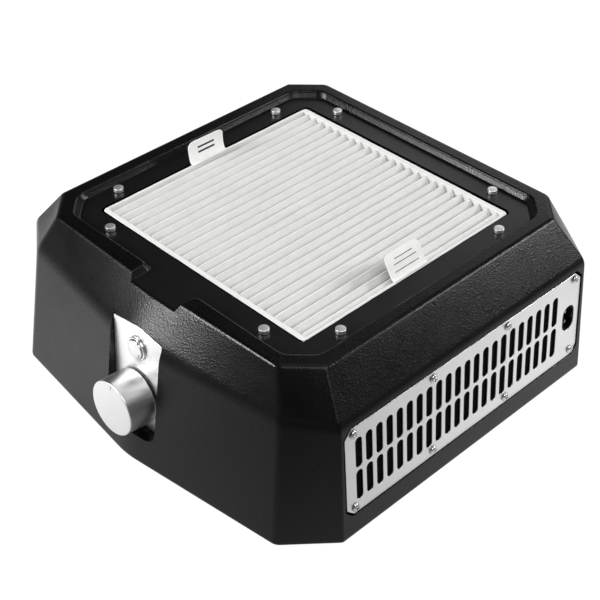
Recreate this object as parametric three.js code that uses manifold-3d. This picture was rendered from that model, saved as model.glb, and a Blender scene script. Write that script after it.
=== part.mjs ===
// Desktop nail dust collector: a black moulded housing with a square filter well
// on top, a centrifugal fan underneath, a sloped control plate with a speed knob
// and a push button at the front, and a slotted exhaust plate with a figure-8
// mains inlet on the right-hand wall.
//
// Millimetres, +Z up, the feet stand on Z = 0, the controls face -Y and the
// exhaust faces +X. Every mesh below is one physical piece.

import * as THREE from 'three';
import { mergeVertices } from 'three/addons/utils/BufferGeometryUtils.js';
import Module from 'manifold-3d';

const wasm = await Module();
wasm.setup();

// ---------------------------------------------------------------- dimensions

const GAP = 0.3;                  // assembly clearance between touching pieces

// Shapes are drawn about the middle of the square top. The knob and the front
// bulge make the object deeper at the front, so every piece is then moved back
// by this much, which puts the middle of the whole footprint on the origin.
const FOOTPRINT_SHIFT = 13.1;

// housing shell, heights are above the table
const SHELL_BOTTOM = 2.5;         // lower edge of the shell, held up by the feet
const CREASE_Z = 88.5;            // where the side walls turn into the slopes
const TOP_Z = 115.6;              // flat border around the filter well
const DECK_Z = 111.1;             // sunken deck inside the border
const DECK_THICKNESS = 3;
const WALL = 3;
const TOP_HALF = 120;
const TOP_CHAMFER = 19.3;
const CREASE_EDGE = 1.6;          // rounding of the rim's outer edge

// plan corners of the right half of the shell, front to back, as
// [x, y, plan rounding, rounding of the crease]
const BOTTOM_CORNERS = [
  [0, -157, 9, 9],
  [120.4, -142.4, 3, 5],
  [146.9, -112.5, 1.2, 4],
  [146.9, 112.5, 1.2, 4],
  [120.4, 138.6, 3, 4],
  [0, 138.6, 0, 4],
];
const CREASE_CORNERS = [
  [0, -144],
  [113.2, -130.3],
  [141.3, -110.8],
  [141.3, 110.8],
  [113.2, 129.9],
  [0, 129.9],
];
const TOP_CORNERS = [
  [0, -TOP_HALF],
  [TOP_HALF - TOP_CHAMFER, -TOP_HALF],
  [TOP_HALF, -TOP_HALF + TOP_CHAMFER],
  [TOP_HALF, TOP_HALF - TOP_CHAMFER],
  [TOP_HALF - TOP_CHAMFER, TOP_HALF],
  [0, TOP_HALF],
];

// sunken deck, front channel and filter opening
const DECK_HALF = 110;
const DECK_CHAMFER = 15;
const DECK_DRAFT = 0.7;
const CHANNEL_HALF = 20.8;
const OPENING_HALF = 93.5;
const OPENING_RADIUS = 5;

// base plate, feet and their screws
const BASE_THICKNESS = 3;
const BASE_Z = 4.3;
const FOOT_X = 108;
const FOOT_Y = 98;
const FOOT_RADIUS = 11;
const BASE_SCREW_X = 124;
const BASE_SCREW_Y = 112;

// filter well under the deck
const TRAY_FLANGE_HALF = 106;
const TRAY_INNER_HALF = 94.6;
const TRAY_WALL = 2.4;
const TRAY_SEAT_HALF = 84;
const TRAY_SEAT_Z = 87.4;
const TRAY_FLOOR_Z = 83;
const INLET_RADIUS = 58;

// filter cassette
const FILTER_HALF_X = 92.3;
const FILTER_HALF_Y = 91.2;
const FILTER_HEIGHT = 20.6;
const FILTER_TOP_Z = 110.8;
const FILTER_SIDE = 2.3;
const FILTER_END = 4;
const PLEAT_COUNT = 24;
const PLEAT_PITCH = 7.5;
const PLEAT_DEPTH = 14.5;
const PLEAT_STACK = 3;            // media thickness measured vertically
const TAB_WIDTH = 30;

// studs that clamp the filter well to the deck
const STUD_NEAR = 70.5;
const STUD_FAR = 101.4;
const STUD_HEAD_RADIUS = 3.3;
const STUD_HEAD_HEIGHT = 2.9;

// fan
const IMPELLER_RADIUS = 85;
const IMPELLER_EYE = 52;
const IMPELLER_BACK_Z = 24;
const IMPELLER_RIM_Z = 58;
const IMPELLER_EYE_Z = 66;
const BLADE_COUNT = 7;
const ROTOR_RADIUS = 40;
const ROTOR_TOP_Z = 50;
const MOTOR_FLANGE_RADIUS = 46;

// control plate, set into a pocket that leans back by PANEL_LEAN degrees
const PANEL_LEAN = 4;
const PANEL_Y = -142.1;           // plate face on the knob axis
const PANEL_Z = 44.1;
const PANEL_HALF = 22.4;
const PANEL_BOTTOM = -22.5;       // heights along the plate from the knob axis
const PANEL_SHOULDER = 48.3;
const PANEL_APEX = 51.6;
const PANEL_CORNER = 9;
const PANEL_THICKNESS = 1.5;
const KNOB_RADIUS = 18.5;
const KNOB_LENGTH = 19.7;
const KNOB_GAP = 1.6;
const BUTTON_UP = 35.1;
const BUTTON_RADIUS = 6.3;
const BUTTON_TRAVEL = 2;
const BEZEL_RADIUS = 8;

// exhaust plate on the right wall, measured along the wall from the crease:
// first number is Y, second is the distance below the crease
const VENT_FRONT = -107.4;
const VENT_BACK = 107.9;
const VENT_TOP = -5.6;
const VENT_BOTTOM = -70.1;
const VENT_CHAMFER = 5.5;
const VENT_SUNK = 0.7;
const VENT_THICKNESS = 1.5;
const VENT_RECESS = 3.6;
const SLOT_COUNT = 22;
const SLOT_PITCH = 8.54;
const SLOT_FIRST = -96.5;
const SLOT_ROWS = [-25.9, -50.2];
const SLOT_WIDTH = 5.4;
const SLOT_LENGTH = 22.3;
const VENT_SCREW_COLUMNS = [-100.7, -33.6, 34.7, 101.5];
const VENT_SCREW_ROWS = [-9.9, -65.3];
const INLET_Y = 97.6;
const INLET_DOWN = -38.1;
const INLET_LOBE = 5.15;
const INLET_LOBE_SPACING = 4;

// ------------------------------------------------------------- shape helpers

/** Closed three.js geometry to a solid that can be joined and cut. */
function solid(geometry) {
  const bare = geometry.clone();
  bare.deleteAttribute('normal');
  bare.deleteAttribute('uv');
  const welded = mergeVertices(bare, 1e-4);
  const position = welded.attributes.position;
  const index = welded.index.array;
  const triangles = [];
  let volume = 0;
  const [a, b, c] = [new THREE.Vector3(), new THREE.Vector3(), new THREE.Vector3()];
  for (let i = 0; i < index.length; i += 3) {
    const [p, q, r] = [index[i], index[i + 1], index[i + 2]];
    if (p === q || q === r || r === p) continue;
    triangles.push(p, q, r);
    a.fromBufferAttribute(position, p);
    b.fromBufferAttribute(position, q);
    c.fromBufferAttribute(position, r);
    volume += a.dot(b.cross(c));
  }
  if (volume < 0) triangles.reverse();
  return new wasm.Manifold(new wasm.Mesh({
    numProp: 3,
    vertProperties: new Float32Array(position.array),
    triVerts: new Uint32Array(triangles),
  }));
}

/** Joins a list of solids. */
function join(...parts) {
  return parts.reduce((all, part) => all.add(part));
}

/** Cuts every following solid out of the first. */
function cut(body, ...tools) {
  return tools.reduce((rest, tool) => rest.subtract(tool), body);
}

/** Moves a geometry into a frame before it becomes a solid. */
function placed(geometry, frame) {
  return solid(frame ? geometry.applyMatrix4(frame) : geometry);
}

/** Box between two opposite corners. */
function box([x0, y0, z0], [x1, y1, z1], frame) {
  const geometry = new THREE.BoxGeometry(x1 - x0, y1 - y0, z1 - z0);
  geometry.translate((x0 + x1) / 2, (y0 + y1) / 2, (z0 + z1) / 2);
  return placed(geometry, frame);
}

/** Upright cylinder on (x, y) between two heights. */
function rod(x, y, radius, z0, z1, frame, segments = 24) {
  const geometry = new THREE.CylinderGeometry(radius, radius, z1 - z0, segments);
  geometry.rotateX(Math.PI / 2);
  geometry.translate(x, y, (z0 + z1) / 2);
  return placed(geometry, frame);
}

/** Outline in XY pulled up from z0 to z1. */
function prism(outline, z0, z1, frame) {
  const shape = new THREE.Shape(outline.map(([x, y]) => new THREE.Vector2(x, y)));
  const geometry = new THREE.ExtrudeGeometry(shape, { depth: z1 - z0, bevelEnabled: false });
  geometry.translate(0, 0, z0);
  return placed(geometry, frame);
}

/** Closed [radius, z] profile turned about the Z axis through (x, y). */
function turned(profile, segments, x = 0, y = 0, frame = null) {
  const points = [...profile, profile[0]].map(([r, z]) => new THREE.Vector2(r, z));
  const geometry = new THREE.LatheGeometry(points, segments);
  geometry.rotateX(Math.PI / 2);
  geometry.translate(x, y, 0);
  return placed(geometry, frame);
}

/** Skin through rings of equal length, closed by the given end triangles. */
function skin(rings, endFaces) {
  const count = rings[0].length;
  const index = [];
  for (let level = 0; level + 1 < rings.length; level++) {
    for (let j = 0; j < count; j++) {
      const k = (j + 1) % count;
      const low = level * count;
      const high = low + count;
      index.push(low + j, low + k, high + k);
      index.push(low + j, high + k, high + j);
    }
  }
  const last = (rings.length - 1) * count;
  for (const [a, b, c] of endFaces) {
    index.push(a, c, b);
    index.push(last + a, last + b, last + c);
  }
  const geometry = new THREE.BufferGeometry();
  geometry.setAttribute('position', new THREE.Float32BufferAttribute(rings.flat(2), 3));
  geometry.setIndex(index);
  return solid(geometry);
}

/** Loft through level rings; the ends are flat. */
function loft(rings) {
  const outline = rings[0].map(([x, y]) => new THREE.Vector2(x, y));
  return skin(rings, THREE.ShapeUtils.triangulateShape(outline, []));
}

/** Round cable or wire swept along a smooth path. */
function cable(path, radius, sides = 6, steps = 16) {
  const curve = new THREE.CatmullRomCurve3(path.map((p) => new THREE.Vector3(...p)));
  const frames = curve.computeFrenetFrames(steps, false);
  const rings = [];
  for (let i = 0; i <= steps; i++) {
    const centre = curve.getPointAt(i / steps);
    const ring = [];
    for (let j = 0; j < sides; j++) {
      const angle = (2 * Math.PI * j) / sides;
      const point = centre.clone();
      point.addScaledVector(frames.normals[i], radius * Math.cos(angle));
      point.addScaledVector(frames.binormals[i], radius * Math.sin(angle));
      ring.push(point.toArray());
    }
    rings.push(ring);
  }
  const fan = [];
  for (let j = 1; j + 1 < sides; j++) fan.push([0, j, j + 1]);
  return skin(rings, fan);
}

/** Point on the curve that rounds a corner between two neighbours. */
function bend(a, corner, b, t) {
  return corner.map((c, i) => (1 - t) ** 2 * a[i] + 2 * t * (1 - t) * c + t ** 2 * b[i]);
}

/** Point at a distance from `from` in the direction of `to`. */
function towards(from, to, distance) {
  const length = Math.hypot(...from.map((c, i) => to[i] - c));
  return from.map((c, i) => c + ((to[i] - c) * distance) / length);
}

/** Replaces each [x, y, trim] corner of a closed outline by a short curve. */
function roundCorners(corners, steps = 2) {
  return corners.flatMap(([x, y, trim], i) => {
    if (!trim) return [[x, y]];
    const before = corners.at(i - 1).slice(0, 2);
    const after = corners[(i + 1) % corners.length].slice(0, 2);
    const a = towards([x, y], before, trim);
    const b = towards([x, y], after, trim);
    return Array.from({ length: steps + 1 }, (_, k) => bend(a, [x, y], b, k / steps));
  });
}

/** Moves every corner of a closed counter-clockwise outline inwards. */
function inset(corners, distance) {
  return corners.map(([x, y, ...rest], i) => {
    const [px, py] = corners.at(i - 1);
    const [nx, ny] = corners[(i + 1) % corners.length];
    const before = new THREE.Vector2(y - py, px - x).normalize();
    const after = new THREE.Vector2(ny - y, x - nx).normalize();
    const shift = distance / (1 + before.dot(after));
    return [x - (before.x + after.x) * shift, y - (before.y + after.y) * shift, ...rest];
  });
}

/** Rectangle with rounded corners. */
function roundedRectangle(halfX, halfY, radius) {
  return roundCorners([
    [-halfX, -halfY, radius],
    [halfX, -halfY, radius],
    [halfX, halfY, radius],
    [-halfX, halfY, radius],
  ], 4);
}

/** Outline with full-round ends, standing upright at (x, y). */
function slotOutline(x, y, width, length, steps = 4) {
  const radius = width / 2;
  const rise = length / 2 - radius;
  const points = [];
  for (let end = 0; end < 2; end++) {
    for (let k = 0; k <= steps; k++) {
      const angle = Math.PI * (end + k / steps);
      const side = end === 0 ? rise : -rise;
      points.push([x + radius * Math.cos(angle), y + side + radius * Math.sin(angle)]);
    }
  }
  return points;
}

// ------------------------------------------------------------ object helpers

const group = new THREE.Group();
group.name = 'nail_dust_collector';

/** Adds one physical piece to the model. */
function piece(name, body, colour, metalness = 0, roughness = 0.6) {
  const mesh = body.getMesh();
  const geometry = new THREE.BufferGeometry();
  geometry.setAttribute('position', new THREE.Float32BufferAttribute(mesh.vertProperties, 3));
  geometry.setIndex(Array.from(mesh.triVerts));
  geometry.translate(0, FOOTPRINT_SHIFT, 0);
  geometry.computeVertexNormals();
  const material = new THREE.MeshStandardMaterial({
    color: colour,
    metalness,
    roughness,
    flatShading: true,
  });
  const node = new THREE.Mesh(geometry, material);
  node.name = name;
  group.add(node);
}

/** Frame with the given axes and origin. */
function frameOf(xAxis, yAxis, zAxis, origin) {
  const frame = new THREE.Matrix4();
  frame.makeBasis(new THREE.Vector3(...xAxis), new THREE.Vector3(...yAxis),
    new THREE.Vector3(...zAxis));
  return frame.setPosition(...origin);
}

// control plate frame: X along the plate, Y up the plate, Z out towards the user
const lean = THREE.MathUtils.degToRad(PANEL_LEAN);
const panelFrame = frameOf(
  [1, 0, 0],
  [0, Math.sin(lean), Math.cos(lean)],
  [0, -Math.cos(lean), Math.sin(lean)],
  [0, PANEL_Y, PANEL_Z],
);

// exhaust wall frame: X along +Y, Y up the wall, Z out of the wall
const draft = Math.atan2(
  BOTTOM_CORNERS[2][0] - CREASE_CORNERS[2][0],
  CREASE_Z - SHELL_BOTTOM,
);
const wallFrame = frameOf(
  [0, 1, 0],
  [-Math.sin(draft), 0, Math.cos(draft)],
  [Math.cos(draft), 0, Math.sin(draft)],
  [CREASE_CORNERS[2][0], 0, CREASE_Z],
);

const BLACK = 0x1b1b1c;
const WHITE = 0xf0f0ee;
const STEEL = 0xd2d3d4;
const GREY = 0x55585c;

// ------------------------------------------------------------- housing shell

/** Full plan outline from its right half, counter-clockwise from the prow. */
function mirrored(half) {
  const left = half.slice(1, -1).reverse().map(([x, ...rest]) => [-x, ...rest]);
  return [...half, ...left];
}

/** Ring of one level, corners rounded in plan. */
function ringAt(corners, z) {
  const plan = mirrored(BOTTOM_CORNERS);
  const rounded = roundCorners(corners.map(([x, y], i) => [x, y, plan[i][2]]), 2);
  return rounded.map(([x, y]) => [x, y, z]);
}

/** Outer form of the housing as a stack of corner levels. */
function outerLevels() {
  const plan = mirrored(BOTTOM_CORNERS);
  const bottom = plan.map(([x, y]) => [x, y, SHELL_BOTTOM]);
  const crease = mirrored(CREASE_CORNERS).map(([x, y]) => [x, y, CREASE_Z]);
  const top = mirrored(TOP_CORNERS).map(([x, y]) => [x, y, TOP_Z]);
  const flat = inset(top, CREASE_EDGE);
  const levels = [inset(bottom, 1.2), plan.map((_, i) => towards(bottom[i], crease[i], 2.2))];
  for (let k = 0; k <= 3; k++) {
    levels.push(plan.map(([, , , trim], i) => bend(
      towards(crease[i], bottom[i], trim),
      crease[i],
      towards(crease[i], top[i], trim),
      k / 3,
    )));
  }
  for (let k = 0; k <= 2; k++) {
    levels.push(plan.map((_, i) => bend(
      towards(top[i], crease[i], CREASE_EDGE),
      top[i],
      flat[i],
      k / 2,
    )));
  }
  return levels;
}

/** Loft whose corner heights may differ inside one level. */
function loftLevels(levels) {
  const plan = mirrored(BOTTOM_CORNERS);
  return loft(levels.map((corners) => corners.flatMap((corner, i) => {
    const trim = plan[i][2];
    if (!trim) return [corner];
    const a = towards(corner, corners.at(i - 1), trim);
    const b = towards(corner, corners[(i + 1) % corners.length], trim);
    return Array.from({ length: 3 }, (_, k) => bend(a, corner, b, k / 2));
  })));
}

const deckUnderside = DECK_Z - DECK_THICKNESS;
const outerForm = loftLevels(outerLevels());

function innerForm() {
  const bottom = mirrored(BOTTOM_CORNERS);
  const crease = mirrored(CREASE_CORNERS);
  const top = mirrored(TOP_CORNERS);
  const share = (deckUnderside - CREASE_Z) / (TOP_Z - CREASE_Z);
  const ceiling = crease.map(([x, y], i) => [
    x + (top[i][0] - x) * share,
    y + (top[i][1] - y) * share,
  ]);
  return loft([
    ringAt(inset(bottom, WALL), SHELL_BOTTOM - 1),
    ringAt(inset(crease, WALL + 0.3), CREASE_Z - 1),
    ringAt(inset(ceiling, WALL + 0.9), deckUnderside),
  ]);
}

/** Sunken deck outline, open to the front through the channel. */
function deckOutline(grow) {
  const edge = DECK_HALF + grow;
  const corner = edge - DECK_CHAMFER;
  const channel = CHANNEL_HALF + grow;
  const front = -190;
  return roundCorners([
    [-channel, front, 0],
    [channel, front, 0],
    [channel, -edge, 4],
    [corner, -edge, 5],
    [edge, -corner, 5],
    [edge, corner, 5],
    [corner, edge, 5],
    [-corner, edge, 5],
    [-edge, corner, 5],
    [-edge, -corner, 5],
    [-corner, -edge, 5],
    [-channel, -edge, 4],
  ]);
}

const deckCut = loft([
  deckOutline(0).map(([x, y]) => [x, y, DECK_Z]),
  deckOutline(DECK_DRAFT).map(([x, y]) => [x, y, TOP_Z]),
  deckOutline(DECK_DRAFT).map(([x, y]) => [x, y, TOP_Z + 5]),
]);

const openingCut = prism(roundedRectangle(OPENING_HALF, OPENING_HALF, OPENING_RADIUS),
  deckUnderside - 2, TOP_Z);

/** Outline of the control plate, or of its pocket when grown. */
function panelOutline(grow) {
  const half = PANEL_HALF + grow;
  return roundCorners([
    [-half, PANEL_BOTTOM - grow, PANEL_CORNER],
    [half, PANEL_BOTTOM - grow, PANEL_CORNER],
    [half, PANEL_SHOULDER + grow, 0],
    [0, PANEL_APEX + grow, 0],
    [-half, PANEL_SHOULDER + grow, 0],
  ], 4);
}

const pocketFloor = -PANEL_THICKNESS - GAP;
const pocketCut = prism(panelOutline(0.5), pocketFloor, 60, panelFrame);
const pocketLiner = prism(panelOutline(3.2), pocketFloor - WALL, 60, panelFrame);
const controlHoles = [
  rod(0, 0, 4.9, -60, 5, panelFrame),
  rod(0, BUTTON_UP, 7.6, -60, 5, panelFrame),
];

/** Chamfered rectangle of the exhaust plate, or of its recess when grown. */
function ventOutline(grow) {
  const [front, back] = [VENT_FRONT - grow, VENT_BACK + grow];
  const [low, high] = [VENT_BOTTOM - grow, VENT_TOP + grow];
  const c = VENT_CHAMFER;
  return [
    [front + c, low],
    [back - c, low],
    [back, low + c],
    [back, high - c],
    [back - c, high],
    [front + c, high],
    [front, high - c],
    [front, low + c],
  ];
}

const WINDOW = { front: -100.2, back: 86.8, low: -61.9, high: -14.2 };
const ventRecess = prism(ventOutline(0.8), -VENT_RECESS, 20, wallFrame);
const ventLiner = prism(ventOutline(1.6), -8, 20, wallFrame);
const ventWindow = box([WINDOW.front, WINDOW.low, -30], [WINDOW.back, WINDOW.high, 5], wallFrame);
const inletWindow = box([INLET_Y - 8.1, INLET_DOWN - 12.3, -30],
  [INLET_Y + 8.1, INLET_DOWN + 12.3, 5], wallFrame);
const ventScrewPlaces = VENT_SCREW_ROWS.flatMap((row) => (
  VENT_SCREW_COLUMNS.map((column) => [column, row])));
const ventPilots = ventScrewPlaces.map(([a, b]) => rod(a, b, 1.8, -30, 5, wallFrame, 8));

const studPlaces = [
  [STUD_NEAR, STUD_FAR],
  [STUD_FAR, STUD_NEAR],
].flatMap(([x, y]) => [[x, -y], [x, y], [-x, y], [-x, -y]]);
const studHoles = studPlaces.map(([x, y]) => rod(x, y, 1.9, 90, TOP_Z, null, 8));

const cornerSigns = [[1, -1], [1, 1], [-1, 1], [-1, -1]];
const baseTop = BASE_Z + BASE_THICKNESS;

/** Screw post tied to the corner of the shell by a web. */
function cornerPost([sx, sy]) {
  const [x, y] = [sx * BASE_SCREW_X, sy * BASE_SCREW_Y];
  const [low, high] = [baseTop + GAP, 62];
  const webFrame = new THREE.Matrix4().makeRotationZ(Math.atan2(sy, sx)).setPosition(x, y, 0);
  const post = join(
    rod(x, y, 6, low, high, null, 12),
    box([0, -2.5, low], [40, 2.5, high], webFrame),
  ).intersect(outerForm);
  return cut(post, rod(x, y, 1.8, low - 1, low + 22, null, 8));
}

const hollow = outerForm.subtract(innerForm());
const linings = join(pocketLiner, ventLiner).intersect(outerForm);
const shell = cut(
  join(hollow, linings, ...cornerSigns.map(cornerPost)),
  deckCut,
  openingCut,
  pocketCut,
  ...controlHoles,
  ventRecess,
  ventWindow,
  inletWindow,
  ...ventPilots,
  ...studHoles,
);
piece('housing_shell', shell, BLACK);

// ------------------------------------------------------- base plate and feet

const baseOutline = inset(mirrored(BOTTOM_CORNERS), WALL + 1.4).map(([x, y]) => [x, y]);
const basePlate = cut(
  prism(baseOutline, BASE_Z, baseTop),
  ...cornerSigns.map(([sx, sy]) => (
    rod(sx * BASE_SCREW_X, sy * BASE_SCREW_Y, 2.3, 0, 12, null, 10))),
);
piece('base_plate', basePlate, 0x242526);

cornerSigns.forEach(([sx, sy], i) => {
  const foot = turned([
    [0, 0],
    [FOOT_RADIUS - 1, 0],
    [FOOT_RADIUS, 1],
    [FOOT_RADIUS, BASE_Z - GAP],
    [0, BASE_Z - GAP],
  ], 20, sx * FOOT_X, sy * FOOT_Y);
  piece(`rubber_foot_${i + 1}`, foot, 0x121212, 0, 0.9);
});

cornerSigns.forEach(([sx, sy], i) => {
  const screw = turned([
    [0, 1.6],
    [2.6, 1.6],
    [3.8, 2.4],
    [3.8, BASE_Z - GAP],
    [1.5, BASE_Z - GAP],
    [1.5, 24],
    [0, 24],
  ], 10, sx * BASE_SCREW_X, sy * BASE_SCREW_Y);
  piece(`base_screw_${i + 1}`, screw, STEEL, 1, 0.35);
});

// --------------------------------------------------------------- filter well

const flangeTop = deckUnderside - GAP;
const flangeBottom = flangeTop - 2.4;
const trayOuter = TRAY_INNER_HALF + TRAY_WALL;
const trayBody = join(
  box([-TRAY_FLANGE_HALF, -TRAY_FLANGE_HALF, flangeBottom],
    [TRAY_FLANGE_HALF, TRAY_FLANGE_HALF, flangeTop]),
  box([-trayOuter, -trayOuter, TRAY_SEAT_Z - TRAY_WALL], [trayOuter, trayOuter, flangeTop]),
  box([-TRAY_SEAT_HALF - TRAY_WALL, -TRAY_SEAT_HALF - TRAY_WALL, TRAY_FLOOR_Z - TRAY_WALL],
    [TRAY_SEAT_HALF + TRAY_WALL, TRAY_SEAT_HALF + TRAY_WALL, TRAY_SEAT_Z]),
);
const tray = cut(
  trayBody,
  box([-TRAY_INNER_HALF, -TRAY_INNER_HALF, TRAY_SEAT_Z],
    [TRAY_INNER_HALF, TRAY_INNER_HALF, TOP_Z]),
  box([-TRAY_SEAT_HALF, -TRAY_SEAT_HALF, TRAY_FLOOR_Z],
    [TRAY_SEAT_HALF, TRAY_SEAT_HALF, TOP_Z]),
  rod(0, 0, INLET_RADIUS, 70, 90, null, 36),
  ...studHoles,
);
piece('filter_well', tray, 0x202122);

studPlaces.forEach(([x, y], i) => {
  const low = DECK_Z + GAP;
  const stud = turned([
    [0, flangeBottom - 4],
    [1.6, flangeBottom - 4],
    [1.6, low],
    [STUD_HEAD_RADIUS, low],
    [STUD_HEAD_RADIUS, low + 1.9],
    [STUD_HEAD_RADIUS - 1, low + STUD_HEAD_HEIGHT],
    [0, low + STUD_HEAD_HEIGHT],
  ], 12, x, y);
  piece(`deck_stud_${i + 1}`, stud, 0xe4e5e6, 1, 0.15);
});

const gasketBottom = TRAY_SEAT_Z + GAP;
const gasket = cut(
  box([-93.6, -93.6, gasketBottom], [93.6, 93.6, gasketBottom + 1.9]),
  box([-86.5, -86.5, gasketBottom - 1], [86.5, 86.5, gasketBottom + 3]),
);
piece('filter_gasket', gasket, 0x2b2b2d, 0, 0.95);

// ----------------------------------------------------------- filter cassette

const filterBottom = FILTER_TOP_Z - FILTER_HEIGHT;
const innerX = FILTER_HALF_X - FILTER_SIDE;
const innerY = FILTER_HALF_Y - FILTER_END;
const filterFrame = cut(
  prism(roundedRectangle(FILTER_HALF_X, FILTER_HALF_Y, 3.5), filterBottom, FILTER_TOP_Z),
  box([-innerX, -innerY, filterBottom - 1], [innerX, innerY, FILTER_TOP_Z + 1]),
);
piece('filter_frame', filterFrame, WHITE, 0, 0.9);

/** Upper surface of the pleats as [x, z], valleys at both ends. */
function pleatLine(top) {
  const flat = 0.45;
  const half = (PLEAT_COUNT * PLEAT_PITCH) / 2;
  const points = [[-half + GAP, top - PLEAT_DEPTH]];
  for (let k = 0; k < PLEAT_COUNT; k++) {
    const x = (k - (PLEAT_COUNT - 1) / 2) * PLEAT_PITCH;
    points.push([x - flat, top], [x + flat, top]);
    if (k + 1 < PLEAT_COUNT) points.push([x + PLEAT_PITCH / 2, top - PLEAT_DEPTH]);
  }
  points.push([half - GAP, top - PLEAT_DEPTH]);
  return points;
}

const mediaTop = FILTER_TOP_Z - 0.5;
const upperLine = pleatLine(mediaTop);
const lowerLine = upperLine.map(([x, z]) => [x, z - PLEAT_STACK]).reverse();
const mediaLength = 2 * (innerY - GAP);
const mediaFrame = frameOf([1, 0, 0], [0, 0, 1], [0, -1, 0], [0, mediaLength / 2, 0]);
piece('filter_media', prism([...upperLine, ...lowerLine], 0, mediaLength, mediaFrame),
  WHITE, 0, 0.95);

/** Bent pull tab: [x, z] middle line given a thickness and a width. */
function pullTab(line, yCentre) {
  const thickness = 0.7;
  const sides = line.map(([x, z], i) => {
    const [ax, az] = line[Math.max(i - 1, 0)];
    const [bx, bz] = line[Math.min(i + 1, line.length - 1)];
    const across = new THREE.Vector2(az - bz, bx - ax).setLength(thickness / 2);
    return [[x + across.x, z + across.y], [x - across.x, z - across.y]];
  });
  const outline = [...sides.map(([a]) => a), ...sides.map(([, b]) => b).reverse()];
  const frame = frameOf([1, 0, 0], [0, 0, 1], [0, -1, 0], [0, yCentre + TAB_WIDTH / 2, 0]);
  return prism(outline, 0, TAB_WIDTH, frame);
}

const tabFoot = FILTER_TOP_Z + 0.7;
piece('pull_tab_left', pullTab([
  [-FILTER_HALF_X + 2.6, tabFoot],
  [-FILTER_HALF_X + 0.6, tabFoot + 0.7],
  [-FILTER_HALF_X - 0.5, tabFoot + 3],
  [-FILTER_HALF_X - 1.2, tabFoot + 7],
  [-FILTER_HALF_X - 1.4, tabFoot + 11],
  [-FILTER_HALF_X - 1.0, tabFoot + 15.5],
], -1.5), WHITE, 0, 0.9);
piece('pull_tab_right', pullTab([
  [FILTER_HALF_X - 0.6, tabFoot],
  [FILTER_HALF_X - 2.6, tabFoot + 0.8],
  [FILTER_HALF_X - 4.4, tabFoot + 3.4],
  [FILTER_HALF_X - 6.4, tabFoot + 7],
  [FILTER_HALF_X - 8.6, tabFoot + 10.4],
  [FILTER_HALF_X - 11.4, tabFoot + 13.4],
], 0), WHITE, 0, 0.9);

// ----------------------------------------------------------------------- fan

/** Ring of square wire. */
function wireRing(radius, z, wire, segments) {
  return turned([
    [radius - wire / 2, z],
    [radius + wire / 2, z],
    [radius + wire / 2, z + wire],
    [radius - wire / 2, z + wire],
  ], segments);
}

const guardZ = TRAY_FLOOR_Z + GAP;
const guardSpokes = [0, 1, 2].map((k) => {
  const turn = new THREE.Matrix4().makeRotationZ((k * Math.PI) / 3);
  return box([-INLET_RADIUS - 6, -1, guardZ], [INLET_RADIUS + 6, 1, guardZ + 1.4], turn);
});
const guard = join(
  wireRing(INLET_RADIUS + 3, guardZ, 1.8, 30),
  wireRing(46, guardZ, 1.8, 24),
  wireRing(32, guardZ, 1.8, 18),
  wireRing(18, guardZ, 1.8, 12),
  ...guardSpokes,
);
piece('finger_guard', guard, 0x2a2b2d, 0.6, 0.5);

const ringTop = TRAY_FLOOR_Z - TRAY_WALL - GAP;
piece('fan_inlet_ring', turned([
  [INLET_RADIUS - 3, ringTop],
  [INLET_RADIUS + 14, ringTop],
  [INLET_RADIUS + 14, ringTop - 2],
  [INLET_RADIUS - 2, ringTop - 2],
  [51, ringTop - 5],
  [49.6, 67.6],
  [47.8, 67.6],
  [49, ringTop - 5],
], 36), 0x2a2b2d);

/** Backward-curved blade footprint starting at an angle. */
function bladeOutline(start) {
  const inner = IMPELLER_EYE - 4;
  const outer = IMPELLER_RADIUS - 1;
  const steps = 4;
  const centre = Array.from({ length: steps + 1 }, (_, k) => {
    const t = k / steps;
    const radius = inner + (outer - inner) * t;
    const angle = start - 0.95 * t ** 0.85;
    return [radius * Math.cos(angle), radius * Math.sin(angle)];
  });
  const rims = centre.map(([x, y], i) => {
    const [ax, ay] = centre[Math.max(i - 1, 0)];
    const [bx, by] = centre[Math.min(i + 1, steps)];
    const across = new THREE.Vector2(ay - by, bx - ax).setLength(1.1);
    return [[x + across.x, y + across.y], [x - across.x, y - across.y]];
  });
  return [...rims.map(([a]) => a), ...rims.map(([, b]) => b).reverse()];
}

const blades = Array.from({ length: BLADE_COUNT }, (_, k) => (
  prism(bladeOutline((2 * Math.PI * k) / BLADE_COUNT), IMPELLER_BACK_Z + 1, IMPELLER_RIM_Z + 6)));
const shroudSpace = turned([
  [0, IMPELLER_BACK_Z],
  [IMPELLER_RADIUS, IMPELLER_BACK_Z],
  [IMPELLER_RADIUS, IMPELLER_RIM_Z + 1],
  [IMPELLER_EYE, IMPELLER_EYE_Z + 1],
  [0, IMPELLER_EYE_Z + 1],
], 36);
const impeller = join(
  turned([
    [ROTOR_RADIUS + 0.6, IMPELLER_BACK_Z],
    [IMPELLER_RADIUS, IMPELLER_BACK_Z],
    [IMPELLER_RADIUS, IMPELLER_BACK_Z + 2],
    [ROTOR_RADIUS + 2.4, IMPELLER_BACK_Z + 2],
    [ROTOR_RADIUS + 2.4, 44],
    [ROTOR_RADIUS + 0.6, 44],
  ], 36),
  turned([
    [IMPELLER_EYE, IMPELLER_EYE_Z],
    [IMPELLER_RADIUS, IMPELLER_RIM_Z],
    [IMPELLER_RADIUS, IMPELLER_RIM_Z + 2],
    [IMPELLER_EYE + 2, IMPELLER_EYE_Z + 2],
    [IMPELLER_EYE + 2, IMPELLER_EYE_Z + 6],
    [IMPELLER_EYE, IMPELLER_EYE_Z + 6],
  ], 36),
  ...blades.map((blade) => blade.intersect(shroudSpace)),
);
piece('fan_impeller', impeller, 0x303338);

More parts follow.
